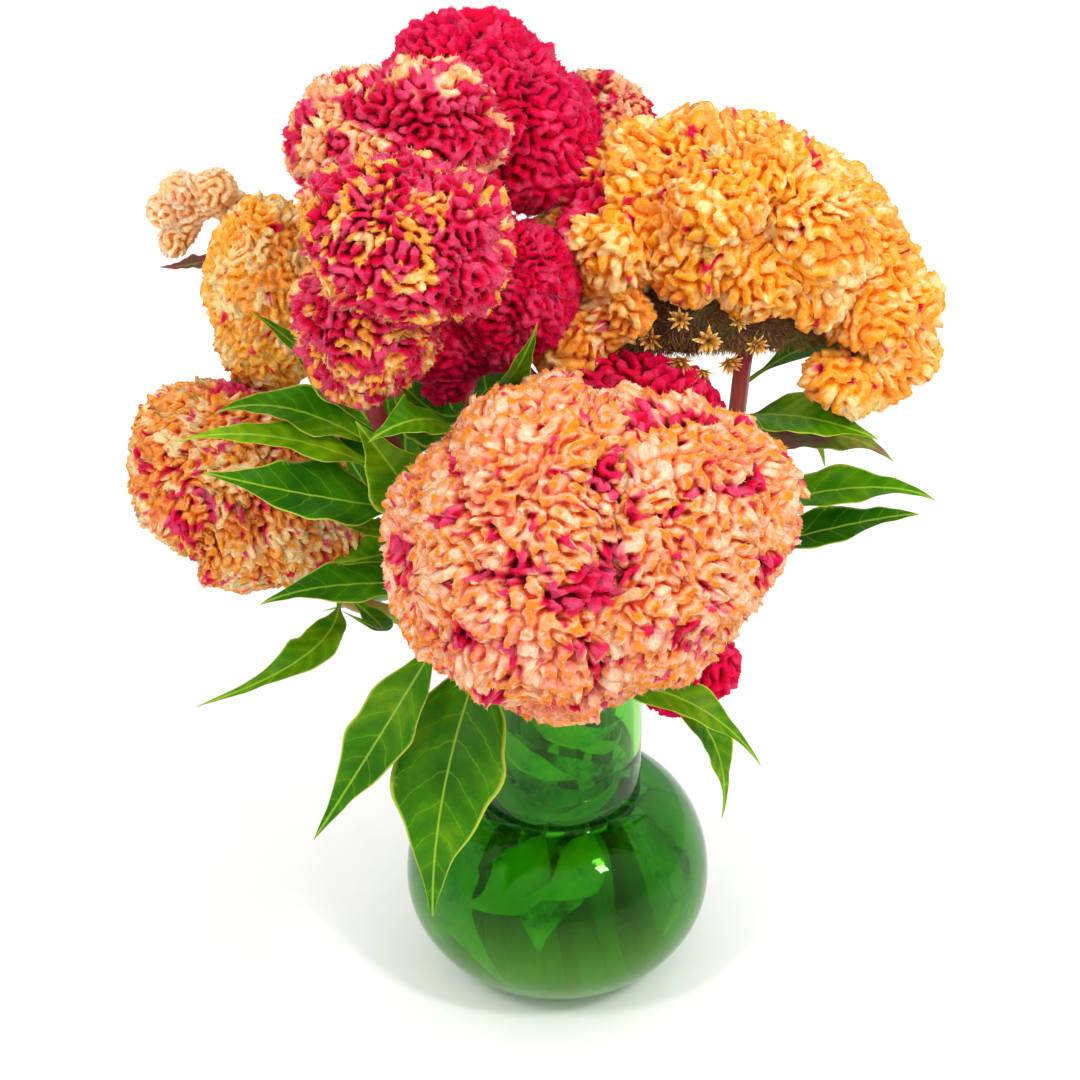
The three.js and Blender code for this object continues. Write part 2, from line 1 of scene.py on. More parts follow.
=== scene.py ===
# %% [markdown]
# # Cockscomb celosia in a green glass vase
# The real thing is a hand-tied bunch of cut celosia, standing in water. Each flower is a thick
# crest: a stem that has grown as a band, folded up, and covered itself in winding velvet
# ruffles. The packed model holds the solids with coarse ridges. This script keeps their forms
# and dresses them: fine ruffles, leaves with veins, and glass that can be seen through.

# %% Load the packed model
import json
import math

import bpy
import numpy as np
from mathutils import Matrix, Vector

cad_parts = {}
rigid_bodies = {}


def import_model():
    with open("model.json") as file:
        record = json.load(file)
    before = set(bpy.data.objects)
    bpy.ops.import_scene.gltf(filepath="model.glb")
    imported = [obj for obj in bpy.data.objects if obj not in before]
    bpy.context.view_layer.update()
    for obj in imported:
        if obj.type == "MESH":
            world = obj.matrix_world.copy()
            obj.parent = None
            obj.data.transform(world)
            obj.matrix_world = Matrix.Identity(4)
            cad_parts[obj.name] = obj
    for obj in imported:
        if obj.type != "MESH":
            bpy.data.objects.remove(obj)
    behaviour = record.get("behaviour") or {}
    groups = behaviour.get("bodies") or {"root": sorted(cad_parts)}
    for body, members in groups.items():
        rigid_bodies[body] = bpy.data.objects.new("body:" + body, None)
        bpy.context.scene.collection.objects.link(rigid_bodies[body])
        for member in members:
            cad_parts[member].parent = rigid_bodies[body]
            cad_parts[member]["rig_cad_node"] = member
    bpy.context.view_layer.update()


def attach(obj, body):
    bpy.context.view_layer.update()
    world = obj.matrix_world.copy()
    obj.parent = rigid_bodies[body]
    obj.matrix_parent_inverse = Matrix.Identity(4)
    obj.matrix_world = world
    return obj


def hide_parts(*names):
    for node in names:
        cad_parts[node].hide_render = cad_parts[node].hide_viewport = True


for leftover in list(bpy.data.objects):
    bpy.data.objects.remove(leftover)
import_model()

MM = 0.001

# %% [markdown]
# ## Curves and meshes
# Stems, leaves and crests all follow a line through a few points. A Bezier object could do
# that, but the arrays that build the surfaces need the same points, so the line is worked out
# in numpy. It is the centripetal Catmull-Rom curve, which passes through its points and
# doesn't loop between points that lie close together.

# %% A smooth line through points
def smooth_line(points, share):
    """Points on the curve at the given shares of its length in spans, from 0 to 1."""
    points = np.asarray(points, float)
    padded = np.vstack([2 * points[0] - points[1], points, 2 * points[-1] - points[-2]])
    place = np.clip(np.atleast_1d(share), 0, 1) * (len(points) - 1)
    span = np.minimum(place.astype(int), len(points) - 2)
    u = (place - span)[:, None]
    p0, p1, p2, p3 = (padded[span + k] for k in range(4))
    d0, d1, d2 = (np.linalg.norm(b - a, axis=1)[:, None] ** 0.5
                  for a, b in ((p0, p1), (p1, p2), (p2, p3)))
    m1 = ((p1 - p0) / d0 - (p2 - p0) / (d0 + d1) + (p2 - p1) / d1) * d1
    m2 = ((p2 - p1) / d1 - (p3 - p1) / (d1 + d2) + (p3 - p2) / d2) * d1
    bend = -3 * p1 + 3 * p2 - 2 * m1 - m2
    twist = 2 * p1 - 2 * p2 + m1 + m2
    return p1 + m1 * u + bend * u**2 + twist * u**3


print("half-way round a bend:", smooth_line([(0, 0, 0), (10, 0, 0), (10, 10, 0)], 0.5)[0])

# %% Directions and soft steps
def unit(vectors):
    """Vectors of length 1."""
    vectors = np.asarray(vectors, float)
    return vectors / np.maximum(np.linalg.norm(vectors, axis=-1, keepdims=True), 1e-9)


def smoothstep(low, high, x):
    """0 below low, 1 above high, and a soft step between."""
    x = np.clip((x - low) / (high - low), 0, 1)
    return x * x * (3 - 2 * x)


print("a soft step at a quarter, half and three quarters:", smoothstep(0, 1, np.array([0.25, 0.5, 0.75])))

# %% A mesh object from arrays in millimetres
def piece_from(name, points, faces, materials=(), slots=None, smooth=True):
    """A mesh object in the bouquet's own frame. slots gives each face's material."""
    mesh = bpy.data.meshes.new(name)
    mesh.from_pydata((np.asarray(points) * MM).tolist(), [], faces)
    for material in materials:
        mesh.materials.append(material)
    if slots is not None:
        mesh.polygons.foreach_set("material_index", np.asarray(slots, np.int32))
    mesh.polygons.foreach_set("use_smooth", np.full(len(mesh.polygons), smooth))
    mesh.update()
    piece = bpy.data.objects.new(name, mesh)
    bpy.context.scene.collection.objects.link(piece)
    return piece


def keep_on(mesh, name, values):
    """Stores one number or one vector for each point of the mesh, for its material to read."""
    values = np.asarray(values, np.float32)
    kind = "FLOAT_VECTOR" if values.ndim == 2 else "FLOAT"
    field = mesh.attributes.new(name, kind, "POINT")
    field.data.foreach_set("vector" if values.ndim == 2 else "value", values.ravel())


def grid_faces(rows, columns, closed):
    """Four-sided faces of a grid of points. closed joins the last column to the first."""
    row, column = np.meshgrid(np.arange(rows - 1), np.arange(columns - (not closed)), indexing="ij")
    after = (column + 1) % columns
    corners = (row * columns + column, row * columns + after,
               (row + 1) * columns + after, (row + 1) * columns + column)
    return np.stack(corners, -1).reshape(-1, 4)


def tube_faces(rows, columns):
    """Faces of a tube of points, with a cap on each end."""
    last = (rows - 1) * columns
    return grid_faces(rows, columns, closed=True).tolist() + [
        list(range(columns))[::-1], list(range(last, last + columns))]


print("a capped tube of 3 rings of 8 points has", len(tube_faces(3, 8)), "faces")

# %% [markdown]
# ## The heads and their sizes
# Each dressed head has to lie on the solid that it stands for, so both are driven by the same
# sizes, in millimetres. Modelling eleven heads one by one would repeat the same work. They
# differ only in their numbers, so they sit in one table: a spine, the half-widths along it,
# extra lumps, the place where the stem meets it, the heads that lie beside it, and how its
# ruffles and hairs grow.

# %% Table of heads
# squash is a head's depth over its width, fullness how blunt its ends are, and clefts give the
# place, width and depth of a waist. halves is a point and the facing of the plane that splits it.
# spacing is from ridge to ridge, and quad is the size of the mesh's faces. lobes and rise say how
# far the lobes and the ridges stand out, over how far a ridge leans, and lean how much of that
# points away from the head's middle. neck is the reach of the stem's pull, and fleck the size of
# the flushed spots.
HEADS = {
    "head_front": dict(
        spine=[(-75, -92, 301), (-30, -97, 299), (18, -97, 300), (63, -97, 314), (101, -90, 319)],
        radii=[57, 73, 72, 57, 44], squash=0.94, fullness=2.2, clefts=[(0.53, 0.06, 0.13)],
        halves=((21, -97, 300), (1, 0.0, -0.1)), root=(15, -57, 226), finish="peach", seed=3,
        spacing=5.5, quad=1.14, lobes=0.95, hairs=4500,
    ),
    "head_middle": dict(
        spine=[(-62, -62, 465), (-66, -66, 437), (-80, -64, 400), (-90, -52, 347)],
        radii=[42, 46, 34, 28], squash=0.8, clefts=[(0.6, 0.05, 0.22)], root=(-86, -50, 348), neck=12,
        finish="crimson_orange", fleck=5.5, seed=9, spacing=4.2, quad=0.96, lobes=1.2, over=0.35,
        lean=0.1, hairs=8000,
    ),
    "head_right": dict(
        spine=[(-2, 22, 338), (9, 28, 368), (36, 35, 401), (74, 38, 407), (110, 40, 393),
               (144, 34, 362), (158, 24, 332), (138, 12, 312)],
        radii=[18, 30, 36, 38, 36, 30, 22, 12],
        lumps=[((26, 6, 363), 16), ((6, 6, 352), 17), ((66, 12, 412), 26), ((116, 16, 400), 25),
               ((20, 12, 392), 22), ((148, 14, 356), 17), ((92, 20, 430), 18), ((58, 12, 386), 17),
               ((92, 10, 378), 19), ((116, 12, 378), 18), ((127, 8, 331), 10), ((136, 10, 323), 12)],
        fullness=3, finish="yellow_orange", seed=13, spacing=5.4, quad=1.25, lobes=1.2,
    ),
    "head_top": dict(
        spine=[(-84, 48, 438), (-40, 55, 441), (-13, 52, 416), (-8, 50, 394)], radii=[42, 42, 36, 28],
        root=(-28, 57, 400), beside=["head_middle", "head_right"], finish="crimson", seed=5,
        spacing=4.3, quad=1.0, lobes=1.5, over=0.3, lean=0.1, hairs=8000,
    ),
    "head_top_lobe": dict(
        spine=[(-117, 8, 437), (-88, 0, 448), (-50, -4, 455), (-28, 0, 451)], radii=[24, 29, 27, 18],
        beside=["head_middle", "head_top"], finish="pink_orange", fleck=7, seed=7, spacing=4.3,
        quad=1.0, lobes=1.0, over=0.35, lean=0.2, hairs=5000,
    ),
    "head_deep": dict(
        spine=[(-28, -2, 410), (-24, -4, 378), (-34, -4, 344)], radii=[26, 30, 25],
        lumps=[((-46, -8, 352), 18), ((-51, -12, 338), 12)], root=(-38, -10, 342), neck=12,
        beside=["head_middle", "head_right", "head_front"], finish="crimson", seed=11, spacing=4.5,
        quad=1.1, lobes=1.0, over=0.3, lean=0.1, hairs=3500,
    ),
    "head_left_high": dict(
        spine=[(-132, 44, 402), (-138, 42, 360), (-140, 42, 302)], radii=[24, 25, 22],
        root=(-138, 46, 312), neck=10, beside=["head_middle", "head_top_lobe"], finish="yellow_orange",
        seed=17, spacing=4.5, quad=1.08, lobes=0.6,
    ),
    "head_left_low": dict(
        spine=[(-198, 4, 264), (-172, 10, 271), (-134, 14, 258), (-94, 12, 240)],
        radii=[36, 48, 44, 32], root=(-112, 12, 208), beside=["head_left_high"], finish="amber",
        seed=19, spacing=4.7, quad=1.2, lobes=0.8,
    ),
    "head_pale": dict(
        spine=[(-180, 72, 367), (-177, 72, 389), (-162, 72, 392), (-147, 70, 381)], radii=[9, 9, 8, 6],
        lumps=[((-187, 68, 388), 8), ((-179, 66, 399), 8), ((-163, 66, 399), 9), ((-150, 68, 386), 7),
               ((-184, 70, 372), 7)],
        finish="pale_orange", seed=21, spacing=3.6, quad=0.85, lobes=0.2, rise=0.55,
    ),
    "head_inner": dict(
        spine=[(56, -12, 192), (74, -6, 225), (76, 0, 265), (62, 0, 303), (32, -3, 327),
               (-22, -4, 330)],
        radii=[18, 20, 20, 20, 20, 16],
        lumps=[((59, -27, 185), 18), ((71, -19, 191), 16), ((84, -4, 240), 12), ((68, 6, 284), 12)],
        fullness=3, root=(50, -13, 196), neck=10, beside=["head_front", "head_right", "head_deep"],
        finish="crimson", seed=23, spacing=5.6, quad=1.32, lobes=1.2, rise=0.75,
    ),
    "head_back": dict(
        spine=[(0, 100, 424), (19, 101, 418), (34, 98, 400)], radii=[22, 24, 20], root=(18, 98, 394),
        neck=10, beside=["head_top", "head_right"], finish="pink_orange", seed=25, spacing=4.6,
        quad=1.15, lobes=0.5, hairs=1500,
    ),
}
print(len(HEADS), "heads to dress")

# %% [markdown]
# ## The body of a crest
# Under its ruffles a crest is a smooth, bent pillow. It could be modelled from a subdivided
# box, but the solids are swept along a spine, so the same sweep is used: rings of points
# round the spine, whose half-width swells and closes at both ends. Where a head leans against
# its neighbours, a Boolean modifier takes their room from it, and a voxel Remesh modifier then
# turns the whole into even quads about a millimetre wide, which fine ruffles need.

# %% The swept body of a crest
RING_ROWS, RING_POINTS = 64, 60
CREST_FRONT = np.array((0, -1, 0.35))


def crest_rings(head, grow=0.0):
    """Rings of points round the spine of a head, grown outwards by some millimetres."""
    t = (1 - np.cos(np.pi * np.linspace(0, 1, RING_ROWS))) / 2
    spine = smooth_line(head["spine"], t)
    along = unit(smooth_line(head["spine"], t + 1e-3) - smooth_line(head["spine"], t - 1e-3))
    out = unit(CREST_FRONT - along * (along @ CREST_FRONT)[:, None])
    across = np.cross(along, out)
    place = t * (len(head["radii"]) - 1)
    before = np.minimum(place.astype(int), len(head["radii"]) - 2)
    radii = np.array(head["radii"], float)
    radius = radii[before] + (radii[before + 1] - radii[before]) * smoothstep(0, 1, place - before)
    radius *= np.maximum(0, 1 - np.abs(2 * t - 1) ** head.get("fullness", 2.4)) ** 0.5
    for at, width, depth in head.get("clefts", []):
        radius *= 1 - depth * np.exp(-(((t - at) / width) ** 2))
    angle = np.linspace(0, 2 * np.pi, RING_POINTS, endpoint=False)[None, :, None]
    wide = (radius + grow)[:, None, None]
    deep = (radius * head.get("squash", 0.9) + grow)[:, None, None]
    rings = (spine[:, None] + wide * np.cos(angle) * across[:, None]
             + deep * np.sin(angle) * out[:, None])
    rings[0] -= along[0] * grow
    rings[-1] += along[-1] * grow
    return rings


def crest_body(name, head, grow=0.0):
    """The closed body of a head as an object of its own."""
    return piece_from(name, crest_rings(head, grow).reshape(-1, 3), tube_faces(RING_ROWS, RING_POINTS))


print("the front crest is swept through", crest_rings(HEADS["head_front"]).shape[:2], "points")

# %% Blocks and balls for the Boolean modifiers
CLEFT_HALF = 1.0
BLOCK_SIZE = 400
BALL_ROWS, BALL_POINTS, BALL_END = 16, 24, 1.5  # the end is a latitude in radians


def half_space(point, facing):
    """A large block on the far side of a plane."""
    turn = Vector((0, 0, 1)).rotation_difference(Vector(facing)).to_matrix()
    points = [Vector(point) + turn @ Vector((x * BLOCK_SIZE, y * BLOCK_SIZE, z))
              for z in (0, BLOCK_SIZE) for x, y in ((-1, -1), (1, -1), (1, 1), (-1, 1))]
    return piece_from("half_space", points, tube_faces(2, 4))


def ball(centre, radius):
    """A plain ball, for a lobe that stands out from a crest."""
    turn, rise = np.meshgrid(np.linspace(0, 2 * np.pi, BALL_POINTS, endpoint=False),
                             np.linspace(-BALL_END, BALL_END, BALL_ROWS))
    points = np.stack([np.cos(rise) * np.cos(turn), np.cos(rise) * np.sin(turn), np.sin(rise)], -1)
    return piece_from("lump", points.reshape(-1, 3) * radius + centre, tube_faces(BALL_ROWS, BALL_POINTS))


print("a head with a cleft is cut in two halves", 2 * CLEFT_HALF, "mm apart")

# %% Even quads, with the neighbours' room taken out
NEIGHBOUR_ROOM = 8.5


def combine(body, other, operation):
    """Adds a Boolean modifier."""
    step = body.modifiers.new(operation.lower(), "BOOLEAN")
    step.operation, step.object, step.solver = operation, other, "MANIFOLD"


def even_quads(name, head, side=0):
    """Points and quads of a head's body. side -1 or 1 keeps one half of a head with a cleft."""
    body = crest_body(name, head)
    lumps = [ball(centre, radius) for centre, radius in head.get("lumps", [])]
    for lump in lumps:
        combine(body, lump, "UNION")
    others = [crest_body(f"room_{other}", HEADS[other], NEIGHBOUR_ROOM)
              for other in head.get("beside", [])]
    if side:
        point, facing = (np.array(part, float) for part in head["halves"])
        facing = -side * unit(facing)
        others.append(half_space(point - CLEFT_HALF * facing, facing))
    for other in others:
        combine(body, other, "DIFFERENCE")
    remesh = body.modifiers.new("even", "REMESH")
    remesh.mode, remesh.voxel_size = "VOXEL", head["quad"] * MM
    graph = bpy.context.evaluated_depsgraph_get()
    mesh = bpy.data.meshes.new_from_object(body.evaluated_get(graph))
    points = np.empty(len(mesh.vertices) * 3)
    mesh.vertices.foreach_get("co", points)
    corners = np.empty(len(mesh.loops), np.int64)
    mesh.loops.foreach_get("vertex_index", corners)
    bpy.data.meshes.remove(mesh)
    for done in (body, *others, *lumps):
        bpy.data.objects.remove(done)
    return points.reshape(-1, 3) / MM, corners.reshape(-1, 4)


print("the pale head's body has", len(even_quads("pale", HEADS["head_pale"])[1]), "even quads")

# %% [markdown]
# ## Ruffles
# The ridges of a cockscomb wind like those of a brain coral. Painting or sculpting them would
# need a hand, and a noise texture gives separate bumps, so they are grown by a rule that makes
# such patterns in nature: each spot is helped by what lies near and held back by what lies
# further off. Started from random values and repeated, that sorts the skin into long ridges
# of one spacing. The rule only needs each point's neighbours on the mesh.

# %% Sharing values between neighbours
BLUR_ROUNDS, BLUR_KEPT = 2.5, 0.2
STREAK_SHARP, STREAK_KEPT = 10, 0.3
CRUMPLED = 0.62  # a point is crumpled below this mean of its faces' directions


def each_axis(rule, vectors):
    """A rule for single numbers, used on x, y and z in turn."""
    return np.stack([rule(column) for column in vectors.T], 1)


class Skin:
    """A quad mesh with the averages and directions that the ruffles are grown from."""

    def __init__(self, points, quads):
        self.points, self.quads, self.count = points, quads, len(points)
        sides = np.vstack([quads[:, (k, (k + 1) % 4)] for k in range(4)])
        self.a, self.b = np.unique(np.sort(sides, 1), axis=0).T
        self.degree = np.bincount(self.a, minlength=self.count) + np.bincount(self.b, minlength=self.count)
        self.edge = np.linalg.norm(points[self.a] - points[self.b], axis=1).mean()
        corners = np.vstack([quads[:, (0, 2)], quads[:, (1, 3)]])
        self.near_a = np.concatenate([self.a, corners[:, 0]])
        self.near_b = np.concatenate([self.b, corners[:, 1]])

    def around(self, values):
        """The mean of each point's neighbours."""
        total = np.bincount(self.a, values[self.b], self.count)
        total += np.bincount(self.b, values[self.a], self.count)
        return total / self.degree

    def spread(self, values, reach):
        """Values blurred over a distance in millimetres."""
        if values.ndim == 2:
            return each_axis(lambda column: self.spread(column, reach), values)
        for _ in range(max(1, round(BLUR_ROUNDS * (reach / self.edge) ** 2))):
            values = BLUR_KEPT * values + (1 - BLUR_KEPT) * self.around(values)
        return values

    def face_vectors(self):
        """The outward direction of each face, as long as twice its area."""
        corner = self.points[self.quads]
        return np.cross(corner[:, 2] - corner[:, 0], corner[:, 3] - corner[:, 1])

    def at_points(self, of_faces):
        """The sum over the faces round each point."""
        return each_axis(lambda column: np.bincount(self.quads.ravel(), np.repeat(column, 4), self.count),
                         of_faces)

    def normals(self):
        """Outward directions at the points."""
        return unit(self.at_points(self.face_vectors()))

    def crumpled(self):
        """True at points whose faces look in very different directions."""
        total = np.linalg.norm(self.at_points(unit(self.face_vectors())), axis=1)
        return total < CRUMPLED * np.bincount(self.quads.ravel(), minlength=self.count)

    def both_ways(self, from_a, from_b):
        """The sum over all neighbours, of values at either end of each step."""
        return np.bincount(self.near_a, from_a, self.count) + np.bincount(self.near_b, from_b, self.count)

    def slope(self, values):
        """The direction in which values rise fastest along the skin."""
        step = self.points[self.near_b] - self.points[self.near_a]
        length = np.maximum((step**2).sum(1), 1e-9)
        part = step * ((values[self.near_b] - values[self.near_a]) / length)[:, None]
        return unit(each_axis(lambda column: self.both_ways(column, column), part))

    def comb(self, values, direction, times):
        """Values blurred along a direction alone, which leaves streaks."""
        step = unit(self.points[self.near_b] - self.points[self.near_a])
        weight_a, weight_b = (np.abs((step * direction[end]).sum(1)) ** STREAK_SHARP
                              for end in (self.near_a, self.near_b))
        whole = self.both_ways(weight_a, weight_b) + 1e-9
        for _ in range(times):
            total = self.both_ways(weight_a * values[self.near_b], weight_b * values[self.near_a])
            values = STREAK_KEPT * values + (1 - STREAK_KEPT) * total / whole
        return values


block = np.array([(x, y, z) for z in (0, 1) for x, y in ((0, 0), (1, 0), (1, 1), (0, 1))], float)
print("a corner of a block has", Skin(block, np.array(tube_faces(2, 4))).degree[0], "neighbours")

# %% Soft random values in space
NOISE_CELLS = 32


def soft_noise(points, size, seed, count=1):
    """Smooth random values about 0, with bumps about `size` millimetres wide."""
    table = np.random.default_rng(seed).uniform(-1, 1, (NOISE_CELLS,) * 3 + (count,))
    place = points / size + 2 * NOISE_CELLS
    cell = np.floor(place).astype(int)
    part = place - cell
    part = part * part * (3 - 2 * part)
    total = np.zeros((len(points), count))
    for corner in np.ndindex(2, 2, 2):
        at = (cell + corner) % NOISE_CELLS
        weight = np.where(corner, part, 1 - part).prod(1)
        total += weight[:, None] * table[at[:, 0], at[:, 1], at[:, 2]]
    return total if count > 1 else total[:, 0]


print("soft noise at three spots:", soft_noise(np.arange(9).reshape(3, 3), 5, seed=1).round(2))

# %% Winding ridges
RIDGE_ROUNDS = 14
HELPED, HELD_BACK = 0.155, 0.31  # reach of both, as shares of the spacing


def winding_ridges(skin, spacing, seed):
    """0 in the valleys and 1 along the ridges."""
    near, far = HELPED * spacing, HELD_BACK * spacing
    field = np.random.default_rng(seed).uniform(-1, 1, skin.count)
    for _ in range(RIDGE_ROUNDS):
        close = skin.spread(field, near)
        wide = skin.spread(close, (far**2 - near**2) ** 0.5)
        field = np.tanh(2 * (close - wide) / np.std(close - wide))
    field = skin.spread(field, 0.6 * near)
    low, high = np.percentile(field, (3, 97))
    return np.clip((field - low) / (high - low), 0, 1)


print("each ridge is helped within", HELPED, "and held back within", HELD_BACK, "of the spacing")

# %% Many small cones
CONE_SIDES, CONE_SUNK = 3, 0.15


def cones(centres, directions, lengths, radii):
    """Points and faces of many small cones. The last faces are the bases, one to a cone."""
    directions = unit(directions)
    across = unit(np.cross(directions, (0.3, 0.2, 1.0)))
    out = np.cross(directions, across)
    turns = [2 * np.pi * k / CONE_SIDES for k in range(CONE_SIDES)]
    points = [centres + radii[:, None] * (math.cos(turn) * across + math.sin(turn) * out)
              - directions * lengths[:, None] * CONE_SUNK for turn in turns]
    points = np.stack(points + [centres + directions * lengths[:, None]], 1).reshape(-1, 3)
    first = np.arange(len(centres))[:, None] * (CONE_SIDES + 1)
    faces = [np.hstack([first + k, first + (k + 1) % CONE_SIDES, first + CONE_SIDES])
             for k in range(CONE_SIDES)]
    return points, np.vstack(faces + [np.hstack([first + k for k in range(CONE_SIDES)][::-1])])


print("a cone has", CONE_SIDES, "sides, and is sunk by", CONE_SUNK, "of its length")

# %% [markdown]
# ## From ridges to ruffles
# A ridge on a real crest is a thin, upright ribbon. Its free edge is longer than its foot, so
# it leans over, waves and crinkles, and fine ribs run down its sides. The whole crest also
# swells into lobes with creases between them. A displacement modifier could only push the
# ridge straight out. So each point is moved in three ways here: out from the skin, over to
# the side that the ribbon leans to, and by small waves that grow towards the edge. Where the
# skin has folded over on itself, it is drawn smooth again. Six heads get short velvet hairs on
# their edges, as small cones, since hair particles aren't kept by every format. The numbers
# that shape the ridges are kept on the mesh, and colour it later.

# %% The drawn-in foot of a head
def drawn_in(points, head):
    """How strongly the stem draws each point to itself, from 0 to 1, and the way to it."""
    way = np.array(head["root"], float) - points
    return np.exp(-(np.linalg.norm(way, axis=1) / head.get("neck", 20)) ** 2), way


print("at a neck's width from the stem, the pull is", round(math.exp(-1), 2))

# %% Ribs down the sides of the ribbons
SLOPE_BLUR, RIB_STEPS = 0.8, 8


def side_ribs(skin, ridge, seed):
    """Fine streaks that run up and down the ridges, with values about 0."""
    slope = skin.slope(skin.spread(ridge, SLOPE_BLUR))
    grain = np.random.default_rng(seed).normal(size=skin.count)
    rib = skin.comb(grain, slope, RIB_STEPS)
    return rib / rib.std()


print("ribs are random values, combed", RIB_STEPS, "times")

# %% Lobes, creases and gaps
LOBE_SIZE, LOBE_DEPTH, LOBE_LEVEL, LOBE_BLUR, SWELL_SIZE = 30, 8, 0.55, 1.5, 14
CREASE, GAPS = (0.1, 0.42), (0.05, 0.6)
GAP_SIZE, GAP_DEPTH, TALLEST = 0.95, 0.45, 1.08  # the size is a share of the spacing


def lobes(skin, head, seed):
    """How far each point swells out, whether it lies in a crease, and how tall its ridge is."""
    billow = np.abs(skin.spread(soft_noise(skin.points, LOBE_SIZE, seed + 2), LOBE_BLUR)) ** 0.6
    crease = 1 - smoothstep(*CREASE, billow)
    swell = head["lobes"] * LOBE_DEPTH * (billow - LOBE_LEVEL) + soft_noise(skin.points, SWELL_SIZE, seed + 3)
    gaps = smoothstep(*GAPS, soft_noise(skin.points, GAP_SIZE * head["spacing"], seed + 4))
    return swell, crease, TALLEST - GAP_DEPTH * gaps


print("lobes are about", LOBE_SIZE, "mm wide, and a ridge in a gap has",
      round(TALLEST - GAP_DEPTH, 2), "of its height")

# %% The way that the ribbons lean
LEAN_SIZE, LEAN_BLUR, DROOP = 3.2, 2.5, (0, 0, -30)  # the size is a share of the spacing


def leaning(skin, normal, head, seed):
    """The direction along the skin that each ribbon leans to."""
    away = skin.points - skin.points.mean(0)
    lean = soft_noise(skin.points, LEAN_SIZE * head["spacing"], seed + 5, 3)
    lean = lean + head.get("lean", 0.5) * unit(away + DROOP)
    lean -= normal * (lean * normal).sum(1)[:, None]
    return unit(skin.spread(lean, LEAN_BLUR))


print("the lean of the ribbons changes over about", LEAN_SIZE, "ridges")

# %% Folds and hairs
FOLD_ROUNDS, FOLDED = 8, -0.35
HAIR_LENGTH, HAIR_RADIUS, HAIR_SPREAD = (0.7, 1.8), (0.15, 0.3), 0.35


def smooth_folds(skin, normal):
    """Draws the skin smooth where it has folded over on itself."""
    for _ in range(FOLD_ROUNDS):
        folded = ((skin.normals() * normal).sum(1) < FOLDED) | skin.crumpled()
        skin.points = np.where(folded[:, None], each_axis(skin.around, skin.points), skin.points)


def velvet_hairs(skin, normal, ridge, hairs, seed):
    """The points that hairs grow from, most of them on the ridges, and the hairs' mesh."""
    random = np.random.default_rng(seed)
    chosen = random.choice(skin.count, hairs, replace=False, p=ridge**2 / (ridge**2).sum())
    outward = unit(skin.normals()[chosen] + 0.7 * normal[chosen])
    outward = outward + HAIR_SPREAD * random.normal(size=(hairs, 3))
    points, faces = cones(skin.points[chosen], outward, random.uniform(*HAIR_LENGTH, hairs),
                          random.uniform(*HAIR_RADIUS, hairs))
    return chosen, points, faces[:CONE_SIDES * hairs]


print("hairs are", HAIR_LENGTH, "mm long")

# %% Shaping one head
SKIN_BLUR, NORMAL_BLUR = 2.2, 4.0
VALLEY, RIDGE_ABOVE = (0.45, 2.0), 4.4  # depth by spacing and fixed, height over the solid
RIB_RISE, RIB_LEAN = 0.05, 0.07
WAVE, CRINKLE = (0.8, 0.44), (0.26, 0.15)  # size and reach, as shares of the spacing
FOOT_PULL = 0.55


def shaped_head(name, head, side=0):
    """The dressed head as a mesh object, with its colours' numbers on it."""
    seed, spacing, rise = head["seed"] + 30 * (1 + side), head["spacing"], head.get("rise", 1.0)
    skin = Skin(*even_quads(name, head, side))
    skin.points = skin.spread(skin.points, SKIN_BLUR)
    normal = unit(skin.spread(skin.normals(), NORMAL_BLUR))
    ridge = winding_ridges(skin, spacing, seed)
    rib = side_ribs(skin, ridge, seed + 1)
    swell, crease, tall = lobes(skin, head, seed)
    lean = leaning(skin, normal, head, seed)
    wave, crinkle = (soft_noise(skin.points, size * spacing, seed + more, 3)
                     for (size, _), more in ((WAVE, 6), (CRINKLE, 7)))

    up = smoothstep(0.0, 0.8, ridge) * tall
    edge = smoothstep(0.3, 1.0, ridge)
    deep = VALLEY[0] * spacing + VALLEY[1]
    height = deep * up - (deep - RIDGE_ABOVE) + swell
    lift = rise * (RIB_RISE * spacing * rib * (0.25 + ridge) + height)
    drift = rise * spacing * (((head.get("over", 0.45) + RIB_LEAN * rib) * up**1.5)[:, None] * lean
                              + WAVE[1] * edge[:, None] * wave + CRINKLE[1] * edge[:, None] * crinkle)
    if "root" in head:
        pull, way = drawn_in(skin.points, head)
        lift, drift = lift * (1 - pull), drift * (1 - pull)[:, None]
        skin.points = skin.points + way * (FOOT_PULL * pull)[:, None]
    body, skin.points = skin.points, skin.points + normal * lift[:, None] + drift
    smooth_folds(skin, normal)

    hairs = head.get("hairs", 0)
    chosen, tufts, tuft_faces = velvet_hairs(skin, normal, ridge, hairs, seed + 11)
    owner = np.concatenate([np.arange(skin.count), np.repeat(chosen, CONE_SIDES + 1)])
    hair_tip_highlight = np.concatenate([np.zeros(skin.count), np.tile((0, 0, 0, 1), hairs)])
    piece = piece_from(name, np.vstack([skin.points, tufts]),
                       skin.quads.tolist() + (tuft_faces + skin.count).tolist())
    keep_on(piece.data, "ridge", ridge[owner])
    # hair tips get a high rib number and so the pale streak colour: partly their own paler colour, partly a
    # painted velvet highlight
    keep_on(piece.data, "rib", np.clip(0.5 + 0.22 * rib[owner] + 0.4 * hair_tip_highlight, 0, 1))
    keep_on(piece.data, "crease", crease[owner])
    keep_on(piece.data, "body", body[owner] * MM)
    return piece


print("the front head's ridges stand", RIDGE_ABOVE, "mm above its solid")
